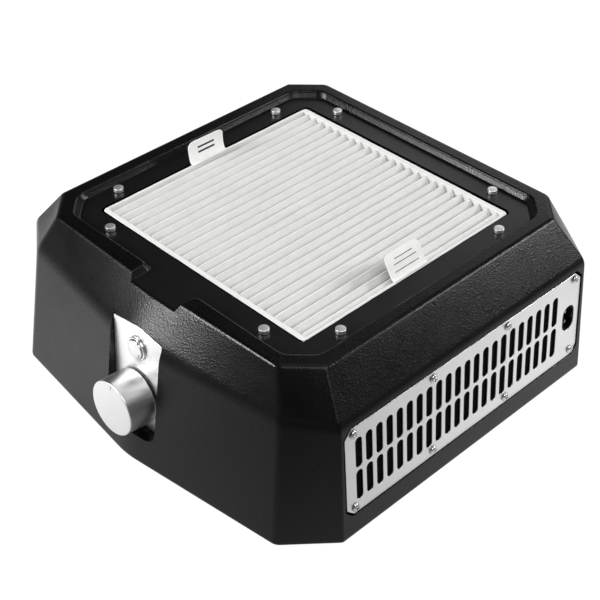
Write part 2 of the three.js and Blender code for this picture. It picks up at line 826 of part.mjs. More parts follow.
piece('fan_rotor_cup', turned([
  [0, 24],
  [3.6, 24],
  [3.6, ROTOR_TOP_Z - 3],
  [ROTOR_RADIUS - 3, ROTOR_TOP_Z - 3],
  [ROTOR_RADIUS - 3, 19],
  [ROTOR_RADIUS, 19],
  [ROTOR_RADIUS, ROTOR_TOP_Z - 2],
  [ROTOR_RADIUS - 2, ROTOR_TOP_Z],
  [0, ROTOR_TOP_Z],
], 30), 0x8c8f92, 0.9, 0.4);

const statorBottom = baseTop + GAP;
piece('motor_stator', turned([
  [0, statorBottom],
  [MOTOR_FLANGE_RADIUS, statorBottom],
  [MOTOR_FLANGE_RADIUS, statorBottom + 4],
  [16, statorBottom + 4],
  [14, 18],
  [14, 20],
  [34.5, 20],
  [34.5, 43],
  [4.1, 43],
  [4.1, 22],
  [0, 22],
], 28), 0x7b5a3c, 0.5, 0.5);

[[1, -1], [1, 1], [-1, 1], [-1, -1]].forEach(([sx, sy], i) => {
  const top = TRAY_FLOOR_Z - TRAY_WALL - GAP;
  piece(`well_post_${i + 1}`, rod(sx * 78, sy * 78, 4, baseTop + GAP, top, null, 10),
    STEEL, 1, 0.4);
});

// ------------------------------------------------------------ front controls

const controlPlate = cut(
  prism(panelOutline(0), -PANEL_THICKNESS, 0, panelFrame),
  ...controlHoles,
);
piece('control_plate', controlPlate, 0xdcdddd, 1, 0.3);

const knobTop = KNOB_GAP + KNOB_LENGTH;
const knobBody = turned([
  [3.3, KNOB_GAP + 3.4],
  [9, KNOB_GAP + 3.4],
  [9, KNOB_GAP],
  [KNOB_RADIUS - 0.5, KNOB_GAP],
  [KNOB_RADIUS, KNOB_GAP + 0.5],
  [KNOB_RADIUS - 0.2, knobTop - 0.7],
  [KNOB_RADIUS - 0.9, knobTop],
  [0, knobTop],
  [0, knobTop - 4],
  [3.3, knobTop - 4],
], 40, 0, 0, panelFrame);
const knobMark = box([-0.5, KNOB_RADIUS - 4.6, knobTop - 0.4],
  [0.5, KNOB_RADIUS - 1.6, knobTop + 1], panelFrame);
piece('speed_knob', cut(knobBody, knobMark), 0xd9dadb, 1, 0.25);

piece('knob_shaft', rod(0, 0, 2.95, -12, knobTop - 4.4, panelFrame, 16), STEEL, 1, 0.35);

piece('knob_potentiometer', turned([
  [3.3, -13],
  [3.3, 3.4],
  [4.5, 3.4],
  [4.5, pocketFloor - WALL - GAP],
  [12, pocketFloor - WALL - GAP],
  [12, -16],
  [0, -16],
  [0, -13],
], 20, 0, 0, panelFrame), GREY, 0.4, 0.5);

/** Hexagonal nut in the control plate frame. */
function panelNut(y, across, bore, low, high) {
  return cut(
    rod(0, y, across / Math.sqrt(3), low, high, panelFrame, 6),
    rod(0, y, bore, low - 1, high + 1, panelFrame),
  );
}

piece('potentiometer_nut', panelNut(0, 12, 4.8, GAP, 2.6), STEEL, 1, 0.3);

piece('button_housing', turned([
  [BUTTON_RADIUS + 0.3, -9],
  [BUTTON_RADIUS + 0.3, 1.7],
  [BEZEL_RADIUS - 0.5, 1.7],
  [BEZEL_RADIUS, 1.2],
  [BEZEL_RADIUS, GAP],
  [7.3, GAP],
  [7.3, -19],
  [0, -19],
  [0, -9],
], 28, 0, BUTTON_UP, panelFrame), 0xd8d9da, 1, 0.15);

piece('button_nut', panelNut(BUTTON_UP, 19, 7.6, pocketFloor - WALL - 3, pocketFloor - WALL - GAP),
  STEEL, 1, 0.3);

piece('push_button', turned([
  [0, -9 + BUTTON_TRAVEL + GAP],
  [BUTTON_RADIUS, -9 + BUTTON_TRAVEL + GAP],
  [BUTTON_RADIUS, 2.3],
  [BUTTON_RADIUS - 0.5, 2.7],
  [0, 2.9],
], 28, 0, BUTTON_UP, panelFrame), 0xe2e3e4, 1, 0.2);

// -------------------------------------------------------- control electronics

const carrierTop = baseTop + GAP + 1.6;
const boardBottom = carrierTop + 4.3;
const pegPlaces = [[46, -122], [104, -122], [46, -96], [104, -96]];
piece('board_carrier', join(
  box([40, -127, baseTop + GAP], [110, -91, carrierTop]),
  ...pegPlaces.map(([x, y]) => rod(x, y, 2.4, baseTop + 1, boardBottom - GAP, null, 12)),
), 0x2f3032);

piece('control_board', join(
  box([41, -126, boardBottom], [109, -92, boardBottom + 1.6]),
  box([44, -123, boardBottom + 1], [58, -115, boardBottom + 11]),
  rod(68, -117, 5, boardBottom + 1, boardBottom + 17, null, 16),
  box([76, -124, boardBottom + 1], [88, -112, boardBottom + 12]),
  box([95, -100, boardBottom + 1], [107, -94, boardBottom + 11]),
  box([45, -100, boardBottom + 1], [63, -94, boardBottom + 9]),
), 0x1f6a3c);

const fins = [0, 1, 2, 3, 4].map((k) => (
  box([92 + k * 3.2, -122, boardBottom + 4], [93.4 + k * 3.2, -104, boardBottom + 22])));
piece('triac_heat_sink', join(
  box([91, -122, boardBottom + 2], [107.4, -104, boardBottom + 5]),
  ...fins,
), 0xb9bcbf, 1, 0.4);

piece('mains_lead', cable([
  [116.5, INLET_Y, 50],
  [110, 92, 40],
  [112, 72, 14],
  [113, 30, 10.4],
  [113, -40, 10.4],
  [108, -68, 14],
  [101.6, -83, 19],
  [101, -93.2, 19.6],
], 2.2, 6, 22), 0x161616);
piece('motor_lead', cable([
  [54, -93.4, 18.5],
  [53, -86, 17.4],
  [49, -72, 12],
  [43, -58, 10],
  [33.4, -34.6, 9.8],
], 1.6), 0x4a2a22);
piece('control_lead', cable([
  [51, -124.9, 20],
  [44, -128, 26],
  [22, -128, 34],
  [8, -121, 42],
  [0.5, -119, 58],
  [0, -118.7, 76],
], 1.5), 0x22324a);

// -------------------------------------------------------------- exhaust wall

/** Figure-8 outline around the mains inlet. */
function figureEight(lobe) {
  const steps = 8;
  const waist = Math.acos(Math.min(1, INLET_LOBE_SPACING / lobe));
  const points = [];
  for (const side of [1, -1]) {
    const centre = INLET_DOWN + side * INLET_LOBE_SPACING;
    const start = side === 1 ? -Math.PI / 2 + waist : Math.PI / 2 + waist;
    const sweep = 2 * Math.PI - 2 * waist;
    for (let k = 0; k < steps; k++) {
      const angle = start + (sweep * k) / steps;
      points.push([INLET_Y + lobe * Math.cos(angle), centre + lobe * Math.sin(angle)]);
    }
  }
  return points;
}

const slots = [];
for (const row of SLOT_ROWS) {
  for (let k = 0; k < SLOT_COUNT; k++) {
    slots.push(slotOutline(SLOT_FIRST + k * SLOT_PITCH, row, SLOT_WIDTH, SLOT_LENGTH));
  }
}
const ventBack = -VENT_SUNK - VENT_THICKNESS;
const ventShape = new THREE.Shape(ventOutline(0).map(([x, y]) => new THREE.Vector2(x, y)));
for (const outline of [...slots, figureEight(INLET_LOBE + 0.3)]) {
  ventShape.holes.push(new THREE.Path(outline.map(([x, y]) => new THREE.Vector2(x, y))));
}
const ventSheet = new THREE.ExtrudeGeometry(ventShape, {
  depth: VENT_THICKNESS,
  bevelEnabled: false,
});
ventSheet.translate(0, 0, ventBack);
piece('vent_plate', cut(placed(ventSheet, wallFrame), ...ventPilots), 0xe0e1e2, 1, 0.3);

ventScrewPlaces.forEach(([a, b], i) => {
  const seat = -VENT_SUNK + GAP;
  const screw = turned([
    [0, -7.4],
    [1.5, -7.4],
    [1.5, seat],
    [2.9, seat],
    [2.6, seat + 0.9],
    [1.7, seat + 1.5],
    [0, seat + 1.7],
  ], 10, a, b, wallFrame);
  piece(`vent_screw_${i + 1}`, screw, 0xc9cacb, 1, 0.25);
});

piece('vent_mesh', box([WINDOW.front - 1, WINDOW.low - 1, ventBack - 1.1],
  [WINDOW.back + 1, WINDOW.high + 1, ventBack - GAP], wallFrame), 0x0f0f10, 0, 0.9);

const socketFront = -VENT_SUNK - 0.2;
const inletBody = join(
  box([INLET_Y - 7.8, INLET_DOWN - 12, -21], [INLET_Y + 7.8, INLET_DOWN + 12, ventBack - GAP],
    wallFrame),
  prism(figureEight(INLET_LOBE), ventBack - 1, socketFront, wallFrame),
);
const pinPlaces = [INLET_DOWN - 3.9, INLET_DOWN + 3.9];
piece('mains_inlet', cut(
  inletBody,
  prism(figureEight(INLET_LOBE - 1), -12, 5, wallFrame),
  ...pinPlaces.map((b) => rod(INLET_Y, b, 1.5, -17, 0, wallFrame, 12)),
), 0x0d0d0e, 0, 0.5);
pinPlaces.forEach((b, i) => {
  piece(`inlet_pin_${i + 1}`, rod(INLET_Y, b, 1.2, -16.7, -3, wallFrame, 12), 0xc7b06a, 1, 0.3);
});

export default group;
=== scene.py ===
"""Looks of the desktop nail dust collector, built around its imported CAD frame.

Shapes are drawn in millimetres about the middle of the square top, heights above
the table, in the same drawing frames as the CAD. place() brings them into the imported
frame in metres. Helpers come first, then one function for each material and sub-part.
"""

import math

import bmesh
import bpy
from mathutils import Matrix, Quaternion, Vector, noise
from mathutils.geometry import tessellate_polygon


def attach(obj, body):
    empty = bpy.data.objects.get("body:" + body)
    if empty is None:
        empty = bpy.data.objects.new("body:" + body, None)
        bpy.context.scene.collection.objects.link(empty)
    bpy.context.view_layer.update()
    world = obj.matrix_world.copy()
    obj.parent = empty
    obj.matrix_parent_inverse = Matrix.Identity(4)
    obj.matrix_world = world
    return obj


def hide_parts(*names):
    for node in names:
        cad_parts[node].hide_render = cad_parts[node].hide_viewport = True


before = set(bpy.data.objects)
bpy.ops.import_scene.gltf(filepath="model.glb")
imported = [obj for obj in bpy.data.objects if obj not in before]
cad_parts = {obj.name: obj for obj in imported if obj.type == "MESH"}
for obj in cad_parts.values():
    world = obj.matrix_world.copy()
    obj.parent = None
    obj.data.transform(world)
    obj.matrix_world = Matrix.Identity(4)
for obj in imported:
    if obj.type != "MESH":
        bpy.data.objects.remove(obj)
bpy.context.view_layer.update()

# ------------ dimensions

MM = 0.001
SHIFT = Vector((0.0, 13.1, 0.0))  # drawing origin to the middle of the footprint
FAR = 60  # past every surface, for cutters that pass right through

SHELL_BOTTOM = 2.5
CREASE_Z = 88.5
TOP_Z = 115.6
DECK_Z = 111.1
DECK_UNDERSIDE = 108.1
WALL = 3.0
TOP_EDGE = 2.2
BOTTOM_EDGE = 1.2
FOOT_TRIM = 2.7
DECK_HALF = 109.0
DECK_CHAMFER = 15.0
DECK_DRAFT = 1.3
DECK_FILLET = 0.9
DECK_LIP = 1.6
MOUTH_TRIM = 2.2
CHANNEL_HALF = 20.8
OPENING_HALF_X = 93.5
OPENING_HALF_Y = 92.9

# plan corners of the right half, front to back: x, y, plan rounding, crease rounding
BOTTOM_CORNERS = [
    (0, -157, 9, 9), (120.4, -142.4, 3, 5), (146.9, -112.5, 1.2, 4),
    (146.9, 112.5, 1.2, 4), (120.4, 138.6, 3, 4), (0, 138.6, 0, 4),
]
CREASE_CORNERS = [
    (0, -144), (113.2, -130.3), (141.3, -110.8), (141.3, 110.8), (113.2, 129.9), (0, 129.9),
]
TOP_CORNERS = [
    (0, -122.4), (100.7, -120), (120, -100.7), (120, 100.7), (100.7, 120), (0, 120),
]

FILTER_HALF_X = 92.3
FILTER_HALF_Y = 91.2
FILTER_TOP = 110.8
FILTER_BOTTOM = 90.2
FILTER_SIDE = 2.3
FILTER_END = 4.0
PLEATS = 24
PLEAT_PITCH = 7.5
PLEAT_DEPTH = 14.5
CREST_RISE = 0.55
SHOULDER_DROP = 2.9
SHOULDER_HALF = 2.1
MEDIA_THICKNESS = 2.2
TAB_WIDTH = 30.0
TAB_THICKNESS = 0.5
TAB_CORNER = 4.5

PANEL_HALF = 22.4
PANEL_BOTTOM = -22.5
PANEL_SHOULDER = 48.3
PANEL_APEX = 51.6
PANEL_THICKNESS = 1.5
POCKET_FLOOR = -1.8
KNOB_RADIUS = 18.5
KNOB_BACK = 1.6
KNOB_FRONT = 21.3
BUTTON_UP = 35.1
BUTTON_RADIUS = 6.3
BEZEL_RADIUS = 8.0
SHAFT_HOLE = 4.9
BUTTON_HOLE = 7.6

VENT_FRONT = -107.4
VENT_BACK = 107.9
VENT_TOP = -5.6
VENT_BOTTOM = -70.1
VENT_CHAMFER = 5.5
VENT_FACE = -0.7
VENT_REAR = -1.6
RECESS_FLOOR = -3.6
RECESS_SHIFT = (-0.5, 0.8)
SLOT_COUNT = 22
SLOT_PITCH = 8.54
SLOT_FIRST = -96.5
SLOT_ROWS = (-25.9, -50.2)
SLOT_WIDTH = 5.4
SLOT_LENGTH = 22.3
WINDOW = (-100.2, -61.9, 86.8, -14.2)
PILOT = 1.8
SCREW_PLACES = [(a, b) for b in (-9.9, -65.3) for a in (-100.7, -33.6, 34.7, 101.5)]
INLET = (97.6, -38.1)
INLET_LOBE = 5.6
LOBE_SPACING = 3.7
QUARTERS = ((1, -1), (1, 1), (-1, 1), (-1, -1))
STUD_PLACES = [
    (sx * x, sy * y) for x, y in ((70.5, 101.4), (101.4, 70.5)) for sx, sy in QUARTERS
]
POST_PLACES = [(sx * 124, sy * 112) for sx, sy in QUARTERS]
POST_RADIUS = 6
POST_LOW, POST_HIGH = 7.6, 62
POST_BORE_TOP = 29


def axes(x_axis, y_axis, z_axis, origin):
    """Drawing frame with the given axes and origin."""
    turn = Matrix((x_axis, y_axis, z_axis)).transposed().to_4x4()
    return Matrix.Translation(origin) @ turn


LEAN = math.radians(4)
PANEL = axes(
    (1, 0, 0),
    (0, math.sin(LEAN), math.cos(LEAN)),
    (0, -math.cos(LEAN), math.sin(LEAN)),
    (0, -142.1, 44.1),
)
WALL_FOOT_X, WALL_TOP_X = BOTTOM_CORNERS[2][0], CREASE_CORNERS[2][0]
DRAFT = math.atan2(WALL_FOOT_X - WALL_TOP_X, CREASE_Z - SHELL_BOTTOM)
RIGHT_WALL = axes(
    (0, 1, 0),
    (-math.sin(DRAFT), 0, math.cos(DRAFT)),
    (math.cos(DRAFT), 0, math.sin(DRAFT)),
    (WALL_TOP_X, 0, CREASE_Z),
)


# ------------ camera


AZIMUTH, ELEVATION, ROLL = 45.976, 38.181, -0.3  # degrees
SENSOR, LENS = 36, 82.84  # millimetres
TARGET = Vector((-0.0597, 0.0662, -0.0240))
DISTANCE = 1.0277


def make_camera():
    """Camera at the photograph's viewing angle."""
    azimuth, elevation = math.radians(AZIMUTH), math.radians(ELEVATION)
    back = Vector((
        math.sin(azimuth) * math.cos(elevation),
        -math.cos(azimuth) * math.cos(elevation),
        math.sin(elevation),
    ))
    data = bpy.data.cameras.new("camera")
    data.sensor_width = SENSOR
    data.lens = LENS
    camera = bpy.data.objects.new("camera", data)
    bpy.context.scene.collection.objects.link(camera)
    camera.location = TARGET + back * DISTANCE
    camera.rotation_mode = "QUATERNION"
    roll = Quaternion((0, 0, 1), math.radians(ROLL))
    camera.rotation_quaternion = (-back).to_track_quat("-Z", "Y") @ roll
    bpy.context.scene.camera = camera


# ------------ shape helpers


def place(point, into=None):
    """A drawn point, in millimetres, to the row frame, in metres."""
    spot = Vector(point)
    if into is not None:
        spot = into @ spot
    return (spot + SHIFT) * MM


def new_object(name, points, faces, into=None):
    """Closed mesh object with its normals facing out."""
    mesh = bpy.data.meshes.new(name)
    mesh.from_pydata([place(p, into) for p in points], [], faces)
    form = bmesh.new()
    form.from_mesh(mesh)
    bmesh.ops.remove_doubles(form, verts=form.verts, dist=1e-7)
    bmesh.ops.recalc_face_normals(form, faces=form.faces)
    form.to_mesh(mesh)
    form.free()
    made = bpy.data.objects.new(name, mesh)
    bpy.context.scene.collection.objects.link(made)
    return made


def bend(a, corner, b, t):
    """Point on the curve that rounds a corner between two neighbours."""
    return a.lerp(corner, t).lerp(corner.lerp(b, t), t)


def towards(start, end, distance):
    """Point at a distance from start in the direction of end."""
    return start + (end - start).normalized() * distance


def rounded(corners, steps=5, closed=True):
    """Corners given as (x, y) or (x, y, trim); a trimmed corner becomes a curve."""
    out = []
    last = len(corners) - 1
    for i, (x, y, *trim) in enumerate(corners):
        here = Vector((x, y))
        if not trim or not trim[0] or (not closed and i in (0, last)):
            out.append(here)
            continue
        a = towards(here, Vector(corners[i - 1][:2]), trim[0])
        b = towards(here, Vector(corners[(i + 1) % len(corners)][:2]), trim[0])
        out += [bend(a, here, b, k / steps) for k in range(steps + 1)]
    return out


def rectangle(low_x, low_y, high_x, high_y, trim=0, steps=5):
    corners = [(low_x, low_y), (high_x, low_y), (high_x, high_y), (low_x, high_y)]
    return rounded([(*corner, trim) for corner in corners], steps)


def band(low, high, count):
    """Faces between two rings, given by the numbers of their first points."""
    after = [(j + 1) % count for j in range(count)]
    return [(low + j, low + k, high + k, high + j) for j, k in enumerate(after)]


def stacked(rings):
    """Points and faces of a closed form through rings of equal length."""
    count = len(rings[0])
    points = [p for ring in rings for p in ring]
    faces = []
    top = (len(rings) - 1) * count
    for low in range(0, top, count):
        faces += band(low, low + count, count)
    faces.append(tuple(reversed(range(count))))
    faces.append(tuple(range(top, top + count)))
    return points, faces


def edge_levels(low, high, edge, steps=3):
    """(height, inset) pairs of a slab whose two rims are rounded."""
    levels = []
    for k in range(steps + 1):
        a = math.pi / 2 * k / steps
        levels.append((low + edge * (1 - math.cos(a)), edge * (1 - math.sin(a))))
    return levels + [(low + high - z, inset) for z, inset in reversed(levels)]


def slab(name, outline_of, levels, into=None):
    """Closed slab: outline_of(inset) is its outline at each (height, inset)."""
    rings = [[(x, y, z) for x, y in outline_of(inset)] for z, inset in levels]
    return new_object(name, *stacked(rings), into)


def pierced(name, loops_of, levels, into=None):
    """Slab with holes: loops_of(inset) gives the outline and then the holes."""
    points, faces, starts = [], [], []
    for z, inset in levels:
        starts.append([])
        for loop in loops_of(inset):
            starts[-1].append((len(points), len(loop)))
            points += [(x, y, z) for x, y in loop]
    for low, high in zip(starts, starts[1:]):
        for (a, count), (b, _) in zip(low, high):
            faces += band(a, b, count)
    for level, (_, inset) in ((0, levels[0]), (-1, levels[-1])):
        loops = [[Vector((x, y, 0)) for x, y in loop] for loop in loops_of(inset)]
        first = starts[level][0][0]
        faces += [tuple(first + i for i in tri) for tri in tessellate_polygon(loops)]
    return new_object(name, points, faces, into)


def turned(name, profile, segments=48, centre=(0, 0), into=None):
    """Profile of (radius, height, trim) points, from axis to axis, turned about Z."""
    line = rounded(profile, 4, closed=False)
    points, faces = [], []
    for radius, z in line:
        points += [(x, y, z) for x, y in circle(*centre, radius, segments)]
    for low in range(0, (len(line) - 1) * segments, segments):
        faces += band(low, low + segments, segments)
    return new_object(name, points, faces, into)


def rod(name, x, y, radius, low, high, into=None, segments=32):
    """Plain cylinder, used as a cutter."""
    return turned(name, [(0, low), (radius, low), (radius, high), (0, high)],
                  segments, (x, y), into)


def brick(name, low, high, into=None):
    """Box between two corners, used as a cutter."""
    ring = rectangle(*low[:2], *high[:2])
    return slab(name, lambda _: ring, [(low[2], 0), (high[2], 0)], into)


def circle(x, y, radius, steps=32):
    turns = [2 * math.pi * k / steps for k in range(steps)]
    return [(x + radius * math.cos(a), y + radius * math.sin(a)) for a in turns]


def dense(outline, step):
    """Outline with extra points, about a step apart."""
    out = []
    for a, b in zip(outline, outline[1:] + outline[:1]):
        a, b = Vector(a), Vector(b)
        count = max(1, round((b - a).length / step))
        out += [a.lerp(b, k / count) for k in range(count)]
    return out


def carve(body, *tools, operation="DIFFERENCE"):
    """Cuts, joins or intersects a solid with others, which are used up."""
    for tool in tools:
        step = body.modifiers.new(tool.name, "BOOLEAN")
        step.operation = operation
        step.object = tool
        step.solver = "MANIFOLD"
    graph = bpy.context.evaluated_depsgraph_get()
    done = bpy.data.meshes.new_from_object(body.evaluated_get(graph))
    body.modifiers.clear()
    body.data = done
    for tool in tools:
        bpy.data.objects.remove(tool)


def shade(piece, sharp=32):
    """Smooth shading with crisp edges and flat flats."""
    piece.data.shade_smooth()
    piece.data.set_sharp_from_angle(angle=math.radians(sharp))
    weigh = piece.modifiers.new("weighted_normals", "WEIGHTED_NORMAL")
    weigh.keep_sharp = True


def settle(piece, look, body, slot, *nodes, sharp=32):
    """Gives a piece its finish and its body, and hides the CAD nodes it stands for. The slot is
    not used.
    """
    if look is not None:
        piece.data.materials.clear()
        piece.data.materials.append(look)
    shade(piece, sharp)
    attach(piece, body)
    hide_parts(*nodes)


def keep_drawn(piece, places):
    """Stores the drawn place of each point, for rings and marks in its finish."""
    layer = piece.data.attributes.new("drawn", "FLOAT_VECTOR", "POINT")
    for item, place_drawn in zip(layer.data, places):
        item.vector = place_drawn


# ------------ material helpers


def node(look, kind, inputs=None, **settings):
    """New node; inputs are sockets to link or values to set."""
    tree = look.node_tree
    made = tree.nodes.new("ShaderNode" + kind)
    for key, value in settings.items():
        setattr(made, key, value)
    for key, value in (inputs or {}).items():
        if isinstance(value, bpy.types.NodeSocket):
            tree.links.new(value, made.inputs[key])
        else:
            made.inputs[key].default_value = value
    return made


def new_look(name, roughness, metallic=0.0, level=0.5):
    """Material with a Principled shader."""
    look = bpy.data.materials.new(name)
    look.use_nodes = True
    inputs = shader_inputs(look)
    inputs["Roughness"].default_value = roughness
    inputs["Metallic"].default_value = metallic
    inputs["Specular IOR Level"].default_value = level
    return look


def shader_inputs(look):
    return look.node_tree.nodes["Principled BSDF"].inputs


def where(look):
    """Position on the object, in metres."""
    return node(look, "TexCoord").outputs["Object"]


def stretched(look, scale, turn=(0, 0, 0)):
    """Position with each axis scaled, for streaks."""
    inputs = {"Vector": where(look), "Scale": scale, "Rotation": turn}
    return node(look, "Mapping", inputs).outputs["Vector"]


def mottle(look, at, scale, detail=3.0, rough=0.55, distort=0.0):
    inputs = {"Vector": at, "Scale": scale, "Detail": detail, "Roughness": rough}
    return node(look, "TexNoise", {**inputs, "Distortion": distort}).outputs["Fac"]


def spread(look, value, low, high, start=0.3, end=0.7):
    inputs = {"Value": value, "From Min": start, "From Max": end, "To Min": low, "To Max": high}
    return node(look, "MapRange", inputs).outputs["Result"]


def tint(look, value, dark, light, start=0.3, end=0.7):
    """Colour between two greys or colours by a value."""
    ramp = node(look, "ValToRGB", {"Fac": value})
    for stop, at, colour in zip(ramp.color_ramp.elements, (start, end), (dark, light)):
        stop.position = at
        stop.color = (*colour, 1)
    return ramp.outputs["Color"]


def grey(value):
    return (value, value, value)


def bumps(look, *layers):
    """Chain of bumps, each (height, distance in millimetres)."""
    normal = None
    for height, distance in layers:
        inputs = {"Height": height, "Distance": distance * MM, "Strength": 1.0}
        if normal is not None:
            inputs["Normal"] = normal
        normal = node(look, "Bump", inputs).outputs["Normal"]
    return normal


def finish_look(look, colour, roughness, normal):
    """Links what varies over the surface to the shader."""
    for key, value in (("Base Color", colour), ("Roughness", roughness), ("Normal", normal)):
        look.node_tree.links.new(value, shader_inputs(look)[key])
    return look


# ------------ materials


def grained_plastic(name, albedo, roughness, cell, depth, level):
    """Moulded plastic with a fine leather grain."""
    look = new_look(name, roughness, level=level)
    at = where(look)
    cells = {"Vector": at, "Scale": 1000 / cell, "Smoothness": 0.5}
    grain = node(look, "TexVoronoi", cells, feature="SMOOTH_F1").outputs["Distance"]
    fine = mottle(look, at, 2600 / cell, 2.0)
    broad = mottle(look, at, 16, 4.0)
    return finish_look(
        look,
        tint(look, broad, grey(albedo * 0.8), grey(albedo * 1.25)),
        spread(look, mottle(look, at, 55, 5.0), roughness - 0.03, roughness + 0.04),
        bumps(look, (grain, depth), (fine, depth * 0.35)),
    )


def plain_plastic(name, colour, roughness=0.45, texture=0.02, level=0.25):
    """Moulded plastic with a faint spark-eroded texture."""
    look = new_look(name, roughness, level=level)
    at = where(look)
    dark = tuple(c * 0.85 for c in colour)
    light = tuple(min(1.0, c * 1.12) for c in colour)
    return finish_look(
        look,
        tint(look, mottle(look, at, 40), dark, light),
        spread(look, mottle(look, at, 150), roughness - 0.05, roughness + 0.08),
        bumps(look, (mottle(look, at, 1800, 2.0), texture)),
    )


def satin_metal(name, albedo, roughness, streak=(1, 1, 1), depth=0.006):
    """Bead-blasted or brushed sheet metal; streak stretches the grain."""
    look = new_look(name, roughness, metallic=1.0)
    at = stretched(look, streak)
    grain = mottle(look, at, 1500, 3.0, 0.65)
    broad = mottle(look, where(look), 22, 3.0)
    return finish_look(
        look,
        tint(look, broad, grey(albedo * 0.95), grey(min(1, albedo * 1.03))),
        spread(look, grain, roughness - 0.06, roughness + 0.1),
        bumps(look, (grain, depth)),
    )


def turned_metal(name, albedo, roughness):
    """Lathe-turned metal: fine rings about the knob axis."""
    look = new_look(name, roughness, metallic=1.0)
    local = node(look, "Attribute", attribute_name="drawn").outputs["Vector"]
    flat = node(look, "VectorMath", {0: local, 1: (1, 1, 0)}, operation="MULTIPLY")
    radius = node(look, "VectorMath", {0: flat.outputs["Vector"]}, operation="LENGTH")
    along = node(look, "SeparateXYZ", {0: local}).outputs["Z"]
    rings = node(look, "CombineXYZ", {0: radius.outputs["Value"], 1: along}).outputs[0]
    turning = mottle(look, rings, 4.5, 4.0, 0.7)
    return finish_look(
        look,
        tint(look, mottle(look, where(look), 60), grey(albedo * 0.96), grey(albedo)),
        spread(look, turning, roughness - 0.07, roughness + 0.1),
        bumps(look, (turning, 0.012), (mottle(look, where(look), 2500), 0.004)),
    )


def bright_chrome(name, albedo=0.85, roughness=0.09):
    """Polished plating with the faintest unevenness."""
    look = new_look(name, roughness, metallic=1.0)
    at = where(look)
    return finish_look(
        look,
        tint(look, mottle(look, at, 300), grey(albedo * 0.93), grey(albedo)),
        spread(look, mottle(look, at, 700), roughness - 0.03, roughness + 0.06),
        bumps(look, (mottle(look, at, 500, 1.0), 0.004)),
    )


def nonwoven(name, albedo, depth, marks=None):
    """Bonded fibre fleece: crossing fibres, small clumps, a little sheen."""
    look = new_look(name, 0.92, level=0.2)
    shader_inputs(look)["Sheen Weight"].default_value = 0.15
    at = where(look)
    fibre_a = mottle(look, stretched(look, (1, 6, 3), (0.4, 0.2, 0.6)), 420, 4.0, 0.7, 0.8)
    fibre_b = mottle(look, stretched(look, (6, 1, 2), (0.1, 0.5, 0.9)), 380, 4.0, 0.7, 0.8)
    clumps = mottle(look, at, 180, 4.0, 0.6)
    warm = (albedo, albedo, albedo * 0.985)
    # darker tone of random fibre clumps
    clump_dark = tuple(c * 0.94 for c in warm)
    colour = tint(look, clumps, clump_dark, warm, 0.25, 0.6)
    if marks is not None:
        colour = marks(look, colour)
    return finish_look(
        look,
        colour,
        spread(look, clumps, 0.86, 0.97),
        bumps(look, (clumps, depth), (fibre_a, depth * 0.6), (fibre_b, depth * 0.6)),
    )


INK = (0.05, 0.05, 0.06, 1)


def ink_bars(*rows):
    """Plain printed bars across a tab, as (height, thickness, half width)."""

    def draw(look, colour):
        local = node(look, "Attribute", attribute_name="drawn").outputs["Vector"]
        parts = node(look, "SeparateXYZ", {0: local})
        across = node(look, "Math", {0: parts.outputs["X"]}, operation="ABSOLUTE")
        total = None
        for height, thickness, half in rows:
            side = node(look, "Math", {0: across.outputs[0], 1: half}, operation="LESS_THAN")
            near = {0: parts.outputs["Y"], 1: height, 2: thickness / 2}
            level = node(look, "Math", near, operation="COMPARE")
            both = {0: side.outputs[0], 1: level.outputs[0]}
            bar = node(look, "Math", both, operation="MULTIPLY").outputs[0]
            if total is not None:
                bar = node(look, "Math", {0: total, 1: bar}, operation="MAXIMUM").outputs[0]
            total = bar
        mix = node(look, "Mix", {0: total, 6: colour, 7: INK}, data_type="RGBA")
        return mix.outputs[2]

    return draw


def foam_rubber(name, albedo, roughness, scale, depth):
    """Soft black rubber or cellular foam."""
    look = new_look(name, roughness, level=0.3)
    at = where(look)
    cells = node(look, "TexVoronoi", {"Vector": at, "Scale": scale}).outputs["Distance"]
    return finish_look(
        look,
        tint(look, cells, grey(albedo * 0.7), grey(albedo * 1.3), 0.1, 0.8),
        spread(look, mottle(look, at, scale), roughness - 0.05, min(1, roughness + 0.05)),
        bumps(look, (cells, depth)),
    )


def circuit_board(name):
    """Green solder mask over faint traces."""
    look = new_look(name, 0.35)
    at = where(look)
    traces = node(look, "TexVoronoi", {"Vector": at, "Scale": 260}, distance="MANHATTAN")
    return finish_look(
        look,
        tint(look, traces.outputs["Distance"], (0.01, 0.09, 0.035), (0.02, 0.16, 0.06), 0.3, 0.5),
        spread(look, mottle(look, at, 90), 0.3, 0.45),
        bumps(look, (traces.outputs["Distance"], 0.03)),
    )


def wound_copper(name):
    """Stator seen from outside: enamelled wire in fine turns."""
    look = new_look(name, 0.38, metallic=0.8)
    at = stretched(look, (1, 1, 14))
    turns = mottle(look, at, 120, 2.0, 0.5)
    return finish_look(
        look,
        tint(look, turns, (0.22, 0.08, 0.03), (0.5, 0.22, 0.09)),
        spread(look, turns, 0.3, 0.5),
        bumps(look, (turns, 0.15)),
    )


# ------------ shell


def mirrored(half):
    """Full plan outline from its right half, counter-clockwise from the prow."""
    return [*half, *[(-x, *rest) for x, *rest in reversed(half[1:-1])]]


def inset(corners, distance):
    """Moves the corners of a counter-clockwise outline inwards, heights kept."""
    out = []
    for i, here in enumerate(corners):
        before, after = corners[i - 1], corners[(i + 1) % len(corners)]
        a = Vector((here[1] - before[1], before[0] - here[0])).normalized()
        b = Vector((after[1] - here[1], here[0] - after[0])).normalized()
        shift = (a + b) * (distance / (1 + a.dot(b)))
        moved = Vector(here)
        moved[0] -= shift.x
        moved[1] -= shift.y
        out.append(moved)
    return out


def at_height(corners, z):
    return [Vector((x, y, z)) for x, y, *_ in corners]


